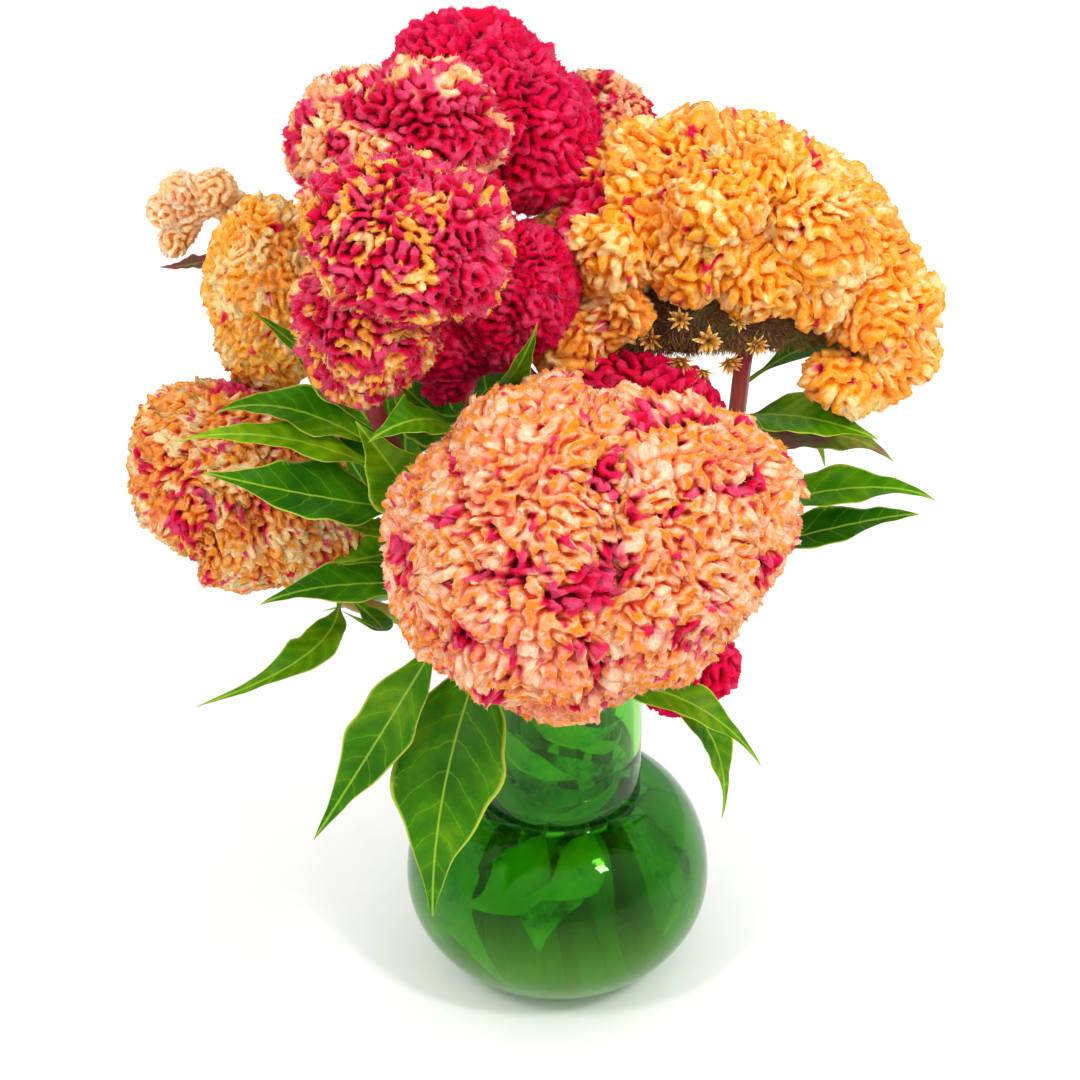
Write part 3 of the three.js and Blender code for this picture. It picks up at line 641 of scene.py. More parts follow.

# %% [markdown]
# ## Velvet colours
# On a real crest the colour goes with the depth: deep and hot in the valleys, pale on the
# sides of the ribbons, and strong again on their edges. The darkest valley shades are that
# deep colour and painted shade as well, darkened as the narrow valleys would be by shadow.
# A colour image would have to be painted on an unwrapped skin. Here a Color Ramp reads the
# ridge number that was kept on each point, shifted a little by the ribs and a soft noise, and
# pushed towards the dark valley shades in the creases between lobes, as painted shade. A
# second ramp holds the magenta that some folds are flushed with, and fine noise gives the
# velvet its nap.

# %% Colours
def colour(code):
    """A hex colour as the linear numbers that shaders use."""
    parts = [int(code[k:k + 2], 16) / 255 for k in (0, 2, 4)]
    return tuple(c / 12.92 if c <= 0.04045 else ((c + 0.055) / 1.055) ** 2.4 for c in parts) + (1.0,)


print("peach is", [round(part, 2) for part in colour("F09A62")[:3]], "in linear numbers")

# %% Short calls for nodes
class Finish:
    """A node material under construction, with short calls for the nodes that it needs."""

    def __init__(self, name):
        self.material = bpy.data.materials.new(name)
        self.material.use_nodes = True
        self.tree = self.material.node_tree
        self.shader = self.tree.nodes["Principled BSDF"]

    def node(self, kind, **values):
        made = self.tree.nodes.new(kind)
        for key, value in values.items():
            setattr(made, key, value)
        return made

    def link(self, source, target):
        self.tree.links.new(source, target)

    def feed(self, socket, value):
        """Links an output to the socket, or sets a plain value on it."""
        if isinstance(value, bpy.types.NodeSocket):
            self.link(value, socket)
        else:
            socket.default_value = value

    def number(self, name):
        """A number kept on the mesh."""
        return self.node("ShaderNodeAttribute", attribute_name=name).outputs["Fac"]

    def place(self):
        """The place in the bouquet, in metres."""
        return self.node("ShaderNodeTexCoord").outputs["Object"]

    def noise(self, scale, detail=2.0, rough=0.5):
        """Soft spots. The scale is their number in about a metre."""
        node = self.node("ShaderNodeTexNoise")
        for name, value in (("Scale", scale), ("Detail", detail), ("Roughness", rough)):
            node.inputs[name].default_value = value
        self.link(self.place(), node.inputs["Vector"])
        return node.outputs["Fac"]

    def ramp(self, value, stops):
        """Colours or grey levels that follow a value."""
        node = self.node("ShaderNodeValToRGB")
        elements = node.color_ramp.elements
        while len(elements) < len(stops):
            elements.new(0.5)
        for element, (at, shade) in zip(elements, stops):
            element.position = at
            element.color = colour(shade) if isinstance(shade, str) else (shade, shade, shade, 1)
        self.link(value, node.inputs["Fac"])
        return node.outputs["Color"]

    def math(self, operation, first, second=0.5, third=0.5, clamp=False):
        node = self.node("ShaderNodeMath", operation=operation, use_clamp=clamp)
        for socket, value in zip(node.inputs, (first, second, third)):
            self.feed(socket, value)
        return node.outputs[0]

    def times(self, first, second):
        return self.math("MULTIPLY", first, second)

    def swing(self, value, amount):
        """A value about a half, turned into one about zero."""
        return self.times(self.math("SUBTRACT", value, 0.5), amount)

    def mix(self, share, first, second, blend="MIX"):
        node = self.node("ShaderNodeMix", data_type="RGBA", blend_type=blend)
        self.feed(node.inputs["Factor"], share)
        for socket, value in ((node.inputs["A"], first), (node.inputs["B"], second)):
            self.feed(socket, colour(value) if isinstance(value, str) else value)
        return node.outputs["Result"]

    def shade_by(self, share, shade, value, dark, light):
        """Darkens and lightens a colour by a noise. dark and light are (place, level)."""
        return self.mix(share, shade, self.ramp(value, [dark, light]), "MULTIPLY")

    def bump(self, height, distance, strength, after=None):
        """Relief of some millimetres, on top of the relief in after."""
        node = self.node("ShaderNodeBump")
        node.inputs["Distance"].default_value = distance * MM
        node.inputs["Strength"].default_value = strength
        self.link(height, node.inputs["Height"])
        if after:
            self.link(after, node.inputs["Normal"])
        return node.outputs["Normal"]

    def set(self, **values):
        """Feeds the shader's sockets, and returns the finished material."""
        for name, value in values.items():
            self.feed(self.shader.inputs[name.replace("_", " ")], value)
        return self.material


print("a finish can use", [name for name in vars(Finish) if not name.startswith("_")])

# %% The velvet finish of the crests
CREST_SHADES = {
    # valley (deep colour, darkened further as painted shade), foot, side, near the edge, edge, streak,
    # patches
    "peach": ("D04A26", "EC7C38", "F09A62", "F5BA92", "F08C22", "F8CFB0", "F07C78"),
    "amber": ("962404", "D46006", "E88424", "F8B86C", "EC8A1C", "FADCA4", "E06C3C"),
    "yellow_orange": ("DC6C08", "F68E14", "FAA62E", "FCC264", "FA9E1C", "FDDC9C", "F88C44"),
    "crimson_orange": ("8A1C08", "C8500C", "EE922C", "FAB858", "F59E2E", "FCD494", "E87840"),
    "crimson": ("62000C", "AC0020", "D60030", "DC0236", "E00C46", "E43868", "BE0048"),
    "pink_orange": ("96200C", "D05028", "F09858", "F8C08C", "F8A860", "FCD8B4", "E87878"),
    "pale_orange": ("D07828", "F0A450", "F9C484", "FDE0B0", "FAC078", "FDE8C8", "F8B098"),
}
# the first flushed shade is darkened the same way, as painted shade in the valleys
FLUSH_SHADES = ("58000E", "98001C", "C00028", "CA0434", "D62050", "E25078")
STOPS = (0.0, 0.12, 0.3, 0.5, 0.76)  # where the first five shades stand
RIB_SHIFT, PATCH_SHIFT, CREASE_SHADE_SHIFT = 0.34, 0.6, 0.16


def crest_finish(name, shades):
    """Velvet whose colour follows the ridges, the ribs and the flush kept on the mesh, with painted shade in
    the valleys and creases.
    """
    f = Finish(name)
    ridge, rib = f.number("ridge"), f.number("rib")
    level = f.math("ADD", ridge, f.swing(rib, RIB_SHIFT))
    level = f.math("ADD", level, f.swing(f.noise(190, 4, rough=0.6), PATCH_SHIFT))
    # creases are drawn towards the dark valley shades: painted shade between the lobes
    level = f.math("SUBTRACT", level, f.times(f.number("crease"), CREASE_SHADE_SHIFT), clamp=True)
    plain = f.ramp(level, list(zip(STOPS, shades)))
    patches = f.times(f.ramp(f.noise(34, 3), [(0.48, 0.0), (0.62, 0.7)]),
                      f.ramp(ridge, [(0.2, 0.3), (0.5, 1.0), (0.85, 0.3)]))
    plain = f.mix(patches, plain, shades[6])
    # the pale streak colour also falls on the hair tips, partly as a painted highlight
    streaks = f.times(f.ramp(rib, [(0.5, 0.0), (0.72, 0.95)]),
                      f.ramp(ridge, [(0.15, 0.0), (0.4, 1.0), (0.75, 0.9), (0.95, 0.4)]))
    plain = f.mix(streaks, plain, shades[5])
    flushed = f.mix(streaks, f.ramp(level, list(zip(STOPS, FLUSH_SHADES))), FLUSH_SHADES[5])
    shade = f.mix(f.number("flush"), plain, flushed)
    fuzz, nap = f.noise(520, 3, rough=0.65), f.noise(1500, 2, rough=0.7)
    shade = f.shade_by(0.5, shade, fuzz, (0.32, 0.5), (0.68, 1.4))
    shade = f.shade_by(0.35, shade, nap, (0.3, 0.55), (0.7, 1.35))
    relief = f.bump(rib, 0.6, 0.5, f.bump(fuzz, 1.2, 0.6, f.bump(nap, 0.35, 0.5)))
    return f.set(Base_Color=shade, Normal=relief, Roughness=0.7, Sheen_Weight=0.02, Sheen_Roughness=0.4,
                 Subsurface_Weight=0.35, Subsurface_Radius=(1.0, 0.4, 0.2), Subsurface_Scale=4.5 * MM,
                 Specular_IOR_Level=0.06)


CREST_FINISHES = {name: crest_finish(f"velvet_{name}", shades) for name, shades in CREST_SHADES.items()}
print(len(CREST_FINISHES), "velvets")

# %% Where the heads are flushed
FLUSHES = {  # centre and radius of each magenta patch on a head
    "head_front": [
        ((13, -164, 317), 15), ((2, -163, 312), 9), ((21, -152, 330), 7), ((18, -128, 353), 7),
        ((32, -140, 356), 10), ((36, -105, 365), 9), ((55, -95, 363), 5), ((-17, -160, 324), 8),
        ((-7, -163, 324), 6), ((-42, -156, 288), 8), ((7, -170, 289), 8), ((17, -165, 278), 7),
        ((49, -140, 343), 5), ((54, -155, 292), 6), ((91, -132, 298), 6), ((-66, -126, 305), 5),
        ((-29, -153, 260), 9), ((75, -131, 267), 5), ((28, -122, 364), 5),
    ],
    "head_right": [((10, 14, 418), 12), ((7, 12, 408), 8), ((114, 28, 433), 5), ((160, 38, 398), 4)],
    "head_middle": [
        ((-38, -91, 438), 17), ((-108, -84, 428), 12), ((-102, -72, 365), 10), ((-88, -95, 413), 9),
        ((-60, -104, 440), 7), ((-44, -99, 422), 11), ((-111, -77, 398), 8), ((-27, -87, 441), 10),
        ((-60, -30, 440), 24), ((-90, -30, 400), 22),
    ],
    "head_top_lobe": [((-56, -30, 465), 20), ((-73, -21, 471), 14), ((-39, -20, 471), 14),
                      ((-93, -23, 456), 7)],
    "head_left_low": [
        ((-174, -33, 265), 9), ((-181, -27, 287), 6), ((-170, -22, 238), 7), ((-155, 23, 317), 10),
        ((-141, 27, 313), 8), ((-187, -20, 274), 5), ((-179, -26, 272), 7), ((-114, -13, 245), 4),
        ((-150, 60, 280), 14), ((-190, 30, 250), 9),
    ],
    "head_back": [((20, 90, 450), 14)],
}
# share of a head's ruffles that are flushed here and there
FLECKS = {"head_front": 0.07, "head_right": 0.03, "head_middle": 0.6, "head_top_lobe": 0.45,
          "head_left_high": 0.03, "head_left_low": 0.12, "head_back": 0.4}
# how much of a head's creases stays plain, from -1 for none to 1 for all
CREASES = {"head_front": 0.1, "head_middle": 0.0, "head_top_lobe": -0.1, "head_left_low": 0.1,
           "head_back": -0.5}


def flush_on(name, points, crease, head):
    """1 inside a head's magenta patches and 0 outside, with an uneven border."""
    seed = head["seed"]
    grain = soft_noise(points, head.get("fleck", 0.75 * head["spacing"]), seed + 8)
    grain += 0.4 * soft_noise(points, 2.2, seed + 10)
    total = np.zeros(len(points))
    if name in FLECKS:
        border = np.quantile(grain, 1 - FLECKS[name])
        total = smoothstep(border - 0.06, border + 0.06, grain)
    chosen = soft_noise(points, 26, seed + 9) + 0.25 * grain
    in_creases = smoothstep(0.45, 0.6, crease + 0.2 * grain)
    total = np.maximum(total, in_creases * smoothstep(0.0, 0.1, chosen - CREASES.get(name, 1)))
    for centre, radius in FLUSHES.get(name, []):
        far = np.linalg.norm(points - centre, axis=1) / radius * (1 - 0.6 * grain)
        total = np.maximum(total, 1 - smoothstep(0.85, 1.1, far))
    return total


print(sum(map(len, FLUSHES.values())), "magenta patches on", len(FLUSHES), "heads")

# %% Dress every head
SLOTS = {name: f"{name}_crest" for name in CREST_SHADES} | {"amber": "peach_crest"}


def read_back(mesh, name, kind="value", width=1):
    """The numbers that were kept on a mesh."""
    values = np.empty(len(mesh.vertices) * width, np.float32)
    mesh.attributes[name].data.foreach_get(kind, values)
    return values


def triangles(piece):
    return sum(len(face.vertices) - 2 for face in piece.data.polygons)


def give(piece, slot, *nodes):
    """Ties a piece to the bouquet's body and hides the nodes that it stands for. slot is not used."""
    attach(piece, "root")
    if nodes:
        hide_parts(*nodes)
    print(piece.name, "has", triangles(piece), "triangles")


wanted = [(name, head, side, f"ruffled_{name}{part}") for name, head in HEADS.items()
          for side, part in (((-1, "_left"), (1, "_right")) if "halves" in head else ((0, ""),))]
for name, head, side, title in wanted:
    crest = shaped_head(title, head, side)
    crest.data.materials.append(CREST_FINISHES[head["finish"]])
    body = read_back(crest.data, "body", "vector", 3).reshape(-1, 3) / MM
    keep_on(crest.data, "flush", flush_on(name, body, read_back(crest.data, "crease"), head))
    give(crest, SLOTS[head["finish"]], name)

# %% [markdown]
# ## The underside of the arched head
# Below its ruffles a crest is covered with small dry florets, like coarse brown velvet, with
# some straw-coloured stars among them. Hair particles would suit it but aren't kept by every
# format, so the bristles are small cones in the mesh, each pointing away from the body.

# %% Star florets
STARS = [  # place, the way it looks, radius
    ((42, 2, 352), (-0.5, -1, -0.1), 7.0), ((56, 0, 342), (-0.2, -1, -0.5), 7.5),
    ((68, 1, 351), (0.1, -1, 0.3), 8.0), ((78, 3, 340), (0.4, -1, -0.5), 7.0),
    ((90, 4, 348), (0.6, -1, -0.1), 6.5), ((55, 2, 361), (-0.1, -1, 0.6), 6.5),
    ((36, 4, 364), (-0.5, -1, 0.3), 6.0), ((82, 4, 360), (0.3, -1, 0.6), 6.0),
    ((66, 1, 336), (0.0, -1, -0.8), 6.0),
]
PETAL_LAYERS = ((0.9, 0.5, 8), (0.75, 1.1, 7), (0.55, 1.9, 6))  # reach, rise, number
PETAL_ROWS = (0.0, 0.3, 0.6, 0.85, 1.0)
PETAL_HALF_WIDTHS = (0.10, 0.17, 0.13, 0.06, 0.01)
UP = np.array((0, 0, 1.0))


def star(at, look, radius, seed):
    """A dry floret: three layers of narrow pointed petals round a small eye."""
    random = np.random.default_rng(seed)
    turn = np.array(Vector((0, 0, 1)).rotation_difference(Vector(look)).to_matrix())
    points, faces = [], []
    for layer, (reach, rise, count) in enumerate(PETAL_LAYERS):
        for k in range(count):
            angle = 2 * np.pi * (k + 0.5 * layer) / count + random.uniform(-0.15, 0.15)
            out = np.array((math.cos(angle), math.sin(angle), 0))
            side = np.array((-math.sin(angle), math.cos(angle), 0))
            long = radius * reach * random.uniform(0.85, 1.1)
            faces += [[corner + len(points) for corner in face] for face in tube_faces(len(PETAL_ROWS), 4)]
            for s, w in zip(PETAL_ROWS, PETAL_HALF_WIDTHS):
                mid = out * long * s + UP * (rise * long * s - 0.25 * long * s**2)
                points += [mid - side * w * radius, mid + UP * 0.12 * radius * (1 - s),
                           mid + side * w * radius, mid - UP * 0.35]
    points = np.array(points) @ turn.T + np.array(at)
    petals = len(points) // (4 * len(PETAL_ROWS))
    return points, faces, np.tile(np.repeat(PETAL_ROWS, 4), petals)


print(len(STARS), "stars of", sum(count for _, _, count in PETAL_LAYERS), "petals")

# %% Finishes of the underside
def underside_finish():
    f = Finish("bristly_underside")
    speck = f.noise(900, 3, rough=0.7)
    shade = f.ramp(f.number("ridge"), [(0.0, "2E1A04"), (0.4, "6E4410"), (0.8, "A8741E"), (1.0, "D8A844")])
    shade = f.shade_by(0.5, shade, speck, (0.3, 0.4), (0.7, 1.5))
    shade = f.mix(f.ramp(f.noise(60, 2), [(0.5, 0.0), (0.7, 0.6)]), shade, "5E6A1E")
    return f.set(Base_Color=shade, Normal=f.bump(speck, 0.6, 0.7), Roughness=0.85, Sheen_Weight=0.2)


def star_finish():
    f = Finish("straw_star")
    tone = f.math("ADD", f.number("ridge"), f.times(f.noise(700, 2), 0.3))
    straw = f.ramp(tone, [(0.15, "4A2808"), (0.5, "A06C1C"), (0.85, "DCA440"), (1.15, "F2D48A")])
    return f.set(Base_Color=straw, Roughness=0.7, Subsurface_Weight=0.1, Subsurface_Scale=1.0 * MM)


UNDERSIDE_FINISHES = [underside_finish(), star_finish()]
print("underside finishes:", [finish.name for finish in UNDERSIDE_FINISHES])

# %% Bristles and stars on the underside
UNDERSIDE = dict(
    spine=[(24, 20, 340), (60, 26, 356), (100, 28, 358), (142, 28, 342)], radii=[16, 22, 22, 14],
    root=(88, 34, 326), neck=14, beside=["head_right"], quad=1.2,
)
BRISTLES, BRISTLE_LENGTH, BRISTLE_RADIUS, BRISTLE_SPREAD = 6500, (2.0, 5.0), (0.25, 0.5), 0.45
BODY_TONE, BRISTLE_TONES = 0.15, (0.3, 0.3, 0.3, 1.0)

skin = Skin(*even_quads("underside", UNDERSIDE))
skin.points = skin.spread(skin.points, 2.0)
normal = unit(skin.spread(skin.normals(), 3.0))
pull, way = drawn_in(skin.points, UNDERSIDE)
skin.points = skin.points + way * (0.5 * pull)[:, None]
skin.points = skin.points + normal * (1.2 * soft_noise(skin.points, 6, 40))[:, None]
random = np.random.default_rng(41)
chosen = random.choice(skin.count, BRISTLES, replace=False)
lean = normal[chosen] + BRISTLE_SPREAD * random.normal(size=(BRISTLES, 3))
bristles, bristle_faces = cones(skin.points[chosen], lean, random.uniform(*BRISTLE_LENGTH, BRISTLES),
                                random.uniform(*BRISTLE_RADIUS, BRISTLES))
points, faces = [skin.points, bristles], skin.quads.tolist() + (bristle_faces + skin.count).tolist()
tones = [np.full(skin.count, BODY_TONE), np.tile(BRISTLE_TONES, BRISTLES)]
slots, start = [0] * len(faces), skin.count + len(bristles)
for number, (at, look, radius) in enumerate(STARS):
    star_points, star_faces, shares = star(at, look, radius, 50 + number)
    faces += [[corner + start for corner in face] for face in star_faces]
    slots += [1] * len(star_faces)
    points.append(star_points)
    tones.append(shares)
    start += len(star_points)
underside = piece_from("bristly_underside", np.vstack(points), faces, UNDERSIDE_FINISHES, slots, smooth=False)
keep_on(underside.data, "ridge", np.concatenate(tones))
give(underside, "olive_underside", "head_right_underside")

# %% [markdown]
# ## Stems and leaves
# A celosia stem is a juicy, ribbed rod, and its leaves are long blades with a pale midrib and
# side veins that run forward to a waved edge. A plain plane with a picture of a leaf would
# look flat from the side, so each blade is a closed grid with a rib, veins and waves of its
# own, laid on an arch through three points. Leaf positions differ only in numbers, so they
# are listed per stem: where on the stem, the arch's middle, the tip and the width.

# %% Where the stems run
VASE = {"height": 180, "foot": 44, "belly": 78, "belly_height": 50, "shoulder_height": 102,
        "neck": 42, "lip": 44.5, "wall": 3.5, "floor": 8}
STEM_RADIUS, SHOOT_RADIUS = 4.2, 2.2
# the stems' ring in the neck and at the foot, in millimetres, and how far they wind, in degrees
RING, FOOT_RING, FOOT_HEIGHT, TWIST = 25, 34, 12, 35


def on_ring(radius, azimuth, height):
    """A place round the vase's upright axis."""
    turn = math.radians(azimuth)
    return (radius * math.cos(turn), radius * math.sin(turn), height)


def stem_line(azimuth, above):
    """A stem: it spirals up inside the vase, leaves through the neck, then goes its own way."""
    below = [on_ring(FOOT_RING, azimuth + TWIST, FOOT_HEIGHT),
             on_ring((FOOT_RING + RING) / 2, azimuth + TWIST / 2, 66), on_ring(RING, azimuth + 3, 112),
             on_ring(RING, azimuth, 142), on_ring(RING, azimuth, VASE["height"])]
    return below + above


STEM_LINES = {
    "front": stem_line(-80, [(7, -38, 198), (15, -57, 234)]),
    "inner": stem_line(-35, [(31, -16, 181), (52, -13, 196)]),
    "right": stem_line(10, [(52, 30, 215), (82, 42, 270), (88, 34, 330)]),
    "back": stem_line(55, [(20, 58, 240), (22, 84, 320), (18, 98, 396)]),
    "top": stem_line(100, [(-12, 46, 240), (-20, 60, 320), (-28, 57, 404)]),
    "left_high": stem_line(145, [(-48, 40, 222), (-95, 62, 262), (-134, 46, 308), (-139, 43, 330)]),
    "left_low": stem_line(190, [(-58, 4, 194), (-108, 12, 209), (-122, 13, 236)]),
    "middle": stem_line(235, [(-38, -30, 235), (-64, -40, 290), (-86, -50, 350)]),
}


def shoot_line(stem, share, through):
    """A side shoot that leaves a stem."""
    return [tuple(smooth_line(STEM_LINES[stem], share)[0])] + through


SHOOT_LINES = {
    "left_high": shoot_line("left_high", 0.8, [(-134, 88, 330), (-160, 76, 384)]),
    "middle": shoot_line("middle", 0.78, [(-46, -22, 306), (-38, -10, 350)]),
}
print(len(STEM_LINES), "stems with", len(SHOOT_LINES), "side shoots")

# %% Where the leaves grow
UPWARD, BACKWARD = (0, -0.4, 1), (0, 0.5, 1)
LEAVES = {  # share of the stem, middle of the arch, tip, width, the way the blade faces, extras
    "front": [(0.68, (58, -50, 188), (97, -55, 153), 22, (0.2, -0.5, 1), {})],
    "inner": [(0.9, (73, -38, 160), (80, -50, 118), 20, (0.7, -0.7, 0.4), {})],
    "right": [
        (0.91, (116, 10, 307), (150, 1, 300), 31, UPWARD, {}),
        (0.86, (126, 22, 292), (160, 15, 281), 26, UPWARD, {"blush": 1}),
        (0.76, (134, 14, 266), (179, 0, 268), 24, UPWARD, {}),
        (0.7, (132, 8, 248), (171, -5, 263), 22, UPWARD, {}),
        (0.95, (136, 66, 322), (181, 46, 326), 24, UPWARD, {}),
        (0.6, (102, 76, 256), (140, 112, 226), 40, (0.4, 0.5, 1), {}),
    ],
    "back": [(0.75, (50, 116, 318), (72, 160, 290), 44, (0.2, 0.4, 1), {}),
             (0.6, (4, 104, 244), (-4, 152, 214), 48, BACKWARD, {})],
    "top": [(0.72, (-54, 98, 322), (-84, 136, 306), 42, (-0.3, 0.5, 1), {}),
            (0.72, (-46, 22, 318), (-62, 8, 356), 46, (-0.2, -1, 0.3), {"stalk": 0.3}),
            (0.7, (-32, 20, 306), (-34, 8, 344), 40, (0.1, -1, 0.3), {"stalk": 0.3})],
    "left_high": [(0.7, (-104, 88, 246), (-150, 122, 220), 40, (-0.3, 0.4, 1), {}),
                  (0.72, (-84, 12, 258), (-102, 2, 296), 36, (-0.2, -1, 0.4), {"stalk": 0.3}),
                  (0.68, (-72, 14, 262), (-72, 2, 316), 36, (0.1, -1, 0.3), {"stalk": 0.3}),
                  (0.64, (-74, 2, 240), (-112, -10, 238), 34, (-0.2, -0.8, 0.8), {"stalk": 0.3}),
                  (0.8, (-174, 64, 362), (-190, 56, 364), 9, UPWARD,
                   {"wave": 0.8, "shoot": True, "blush": 1}),
                  (0.7, (-80, 30, 290), (-86, 24, 348), 62, (0.0, -1, 0.35), {"stalk": 0.25})],
    "left_low": [(0.86, (-118, -40, 208), (-172, -52, 185), 20, UPWARD, {}),
                 (0.9, (-84, -34, 218), (-101, -47, 235), 12, UPWARD, {"wave": 1}),
                 (0.83, (-88, 54, 180), (-124, 92, 150), 44, (-0.3, 0.5, 1), {})],
    "middle": [
        (0.67, (-52, -84, 170), (-60, -100, 97), 54, (-0.2, -1, 0.5), {}),
        (0.73, (-79, -76, 193), (-116, -86, 132), 30, (-0.4, -0.9, 0.5), {"stalk": 0.2}),
        (0.92, (-106, -22, 346), (-137, -26, 378), 22, UPWARD, {}),
        (0.91, (-118, -36, 334), (-154, -46, 338), 24, UPWARD, {}),
        (0.88, (-122, -48, 326), (-170, -60, 331), 18, UPWARD, {}),
        (0.84, (-112, -60, 304), (-157, -70, 321), 38, UPWARD, {}),
        (0.8, (-84, -56, 284), (-97, -58, 287), 12, UPWARD, {"wave": 1}),
        (0.72, (-98, -48, 250), (-138, -56, 244), 24, UPWARD, {}),
        (0.6, (-62, -64, 344), (-84, -74, 338), 24, (-0.2, -0.8, 1), {"shoot": True}),
        (0.75, (-24, -42, 351), (-10, -50, 384), 22, (0.6, -0.8, 0.2), {"shoot": True}),
        (0.7, (-60, -10, 322), (-80, -22, 354), 34, (-0.1, -1, 0.3), {"shoot": True}),
        (0.7, (-20, -10, 322), (6, -18, 344), 32, (0.2, -1, 0.3), {"shoot": True}),
        (0.74, (-68, -50, 300), (-90, -62, 342), 32, (-0.1, -1, 0.5), {"stalk": 0.25}),
    ],
}
print(sum(len(leaves) for leaves in LEAVES.values()), "leaves on", len(STEM_LINES), "stems")

# %% The arch and the two sides of a blade
def arch_frame(root, middle, tip, face, share):
    """Points on the arch through three points, and the directions across and out of the blade."""
    root, middle, tip = (np.array(p, float) for p in (root, middle, tip))
    bend, share = 2 * middle - (root + tip) / 2, share[:, None]
    arch = (1 - share) ** 2 * root + 2 * share * (1 - share) * bend + share**2 * tip
    along = unit(2 * (1 - share) * (bend - root) + 2 * share * (tip - bend))
    side = unit(np.cross(along, face))
    return arch, side, unit(np.cross(side, along))


def closed_sheet(above, below):
    """Points and faces of a thin sheet, from the grids of its two sides, joined by a rim."""
    rows, columns = above.shape[:2]
    count = rows * columns
    ring = np.concatenate([np.arange(columns), np.arange(1, rows) * columns + columns - 1,
                           (rows - 1) * columns + np.arange(columns - 2, -1, -1),
                           np.arange(rows - 2, 0, -1) * columns])
    after = np.roll(ring, -1)
    rim = np.stack([ring, ring + count, after + count, after], 1)
    top = grid_faces(rows, columns, closed=False)
    faces = np.vstack([top, top[:, ::-1] + count, rim])
    return np.vstack([above.reshape(-1, 3), below.reshape(-1, 3)]), faces[:, ::-1].tolist()


print("a sheet of 3 by 3 points has", len(closed_sheet(*np.zeros((2, 3, 3, 3)))[1]), "faces")

# %% One blade
BLADE_ROWS, STALK_ROWS, BLADE_HALF = 40, 4, 5
STATIONS = np.array([0, 0.06, 0.13, 0.22, 0.3, 0.39, 0.48, 0.57, 0.66, 0.75, 0.84, 0.92, 1])
WIDTHS = np.array([0.03, 0.15, 0.40, 0.74, 0.95, 1.02, 0.96, 0.80, 0.58, 0.37, 0.21, 0.10, 0.01])
BLADE_THICK, MIDRIB, STALK_HALF, CUP, QUILT = 0.5, 1.0, 1.1, 0.22, 0.35
EDGE_WAVES, RIPPLES, FINE_RIPPLES = 4.5, 2.5, 7  # how many there are along a blade
SIDE_VEINS, VEIN_SWEEP = 9, 0.2


def blade(root, middle, tip, width, face, seed, wave=2.0, stalk=0.1, blush=0, rows=BLADE_ROWS):
    """Points, faces and vein numbers of one leaf, closed on both sides."""
    station = np.linspace(0, 1, rows)
    share = np.concatenate([np.linspace(0, stalk, STALK_ROWS + 1)[:-1], stalk + (1 - stalk) * station])
    arch, side, normal = arch_frame(root, middle, tip, face, share)
    station = np.concatenate([np.zeros(STALK_ROWS), station])[:, None]
    edge = np.linspace(-1, 1, 2 * BLADE_HALF + 1)[None]
    away = np.abs(edge)
    full = np.interp(station, STATIONS, WIDTHS)
    half = np.maximum(STALK_HALF * (1 - station) ** 0.5, full * width / 2)
    half = half * (1 + 0.05 * np.sin(2 * np.pi * EDGE_WAVES * station + 1.5 * np.sign(edge) + seed))

    length = np.linalg.norm(np.subtract(tip, root)) + 1e-6
    vein = (station - VEIN_SWEEP * away**1.4 * np.minimum(1, half * 6 / length)) * SIDE_VEINS
    vein_line = np.abs(vein - np.round(vein)) * 2
    quilt = QUILT * (smoothstep(0, 0.8, vein_line) - 0.6) * full * (1 - away**2)
    ripple = wave * np.sin(2 * np.pi * RIPPLES * station + 0.9 * edge + seed)
    fine = 0.5 * np.sin(2 * np.pi * FINE_RIPPLES * station + 2.0 * edge + 2 * seed) * away**3
    lift = away**1.5 * (half * CUP) + (away**2) * (ripple + fine) * full + quilt

    groove = 0.55 * np.exp(-((edge * half / 1.1) ** 2))
    midrib = 0.4 * MIDRIB * np.exp(-((edge * half / 1.2) ** 2)) * (1 - station * 0.8)
    thick = BLADE_THICK / 2 * (1 - 0.7 * away**3) + midrib
    flat = arch[:, None] + side[:, None] * (edge * half)[..., None]
    above = flat + normal[:, None] * (lift - 0.4 * groove + 0.35 * thick)[..., None]
    below = flat + normal[:, None] * (lift - 0.4 * groove - thick)[..., None]
    points, faces = closed_sheet(above, below)

    grids = {"across": edge, "width": half, "vein": vein, "along": station}
    numbers = {key: np.tile((grid * np.ones_like(half)).ravel(), 2) for key, grid in grids.items()}
    numbers["under"] = np.repeat([0.0, 1.0], half.size)
    numbers["blush"] = np.full(len(points), float(blush))
    numbers["tint"] = np.full(len(points), np.random.default_rng(seed).uniform(0, 1))
    return points, faces, numbers


print("a leaf has up to", 2 * (BLADE_ROWS + STALK_ROWS) * (2 * BLADE_HALF + 1), "points")

# %% One ribbed rod
RIB_HEIGHT, KNOTS, KNOT_HEIGHT, KNOT_LENGTH = 0.05, 7, 0.10, 0.008


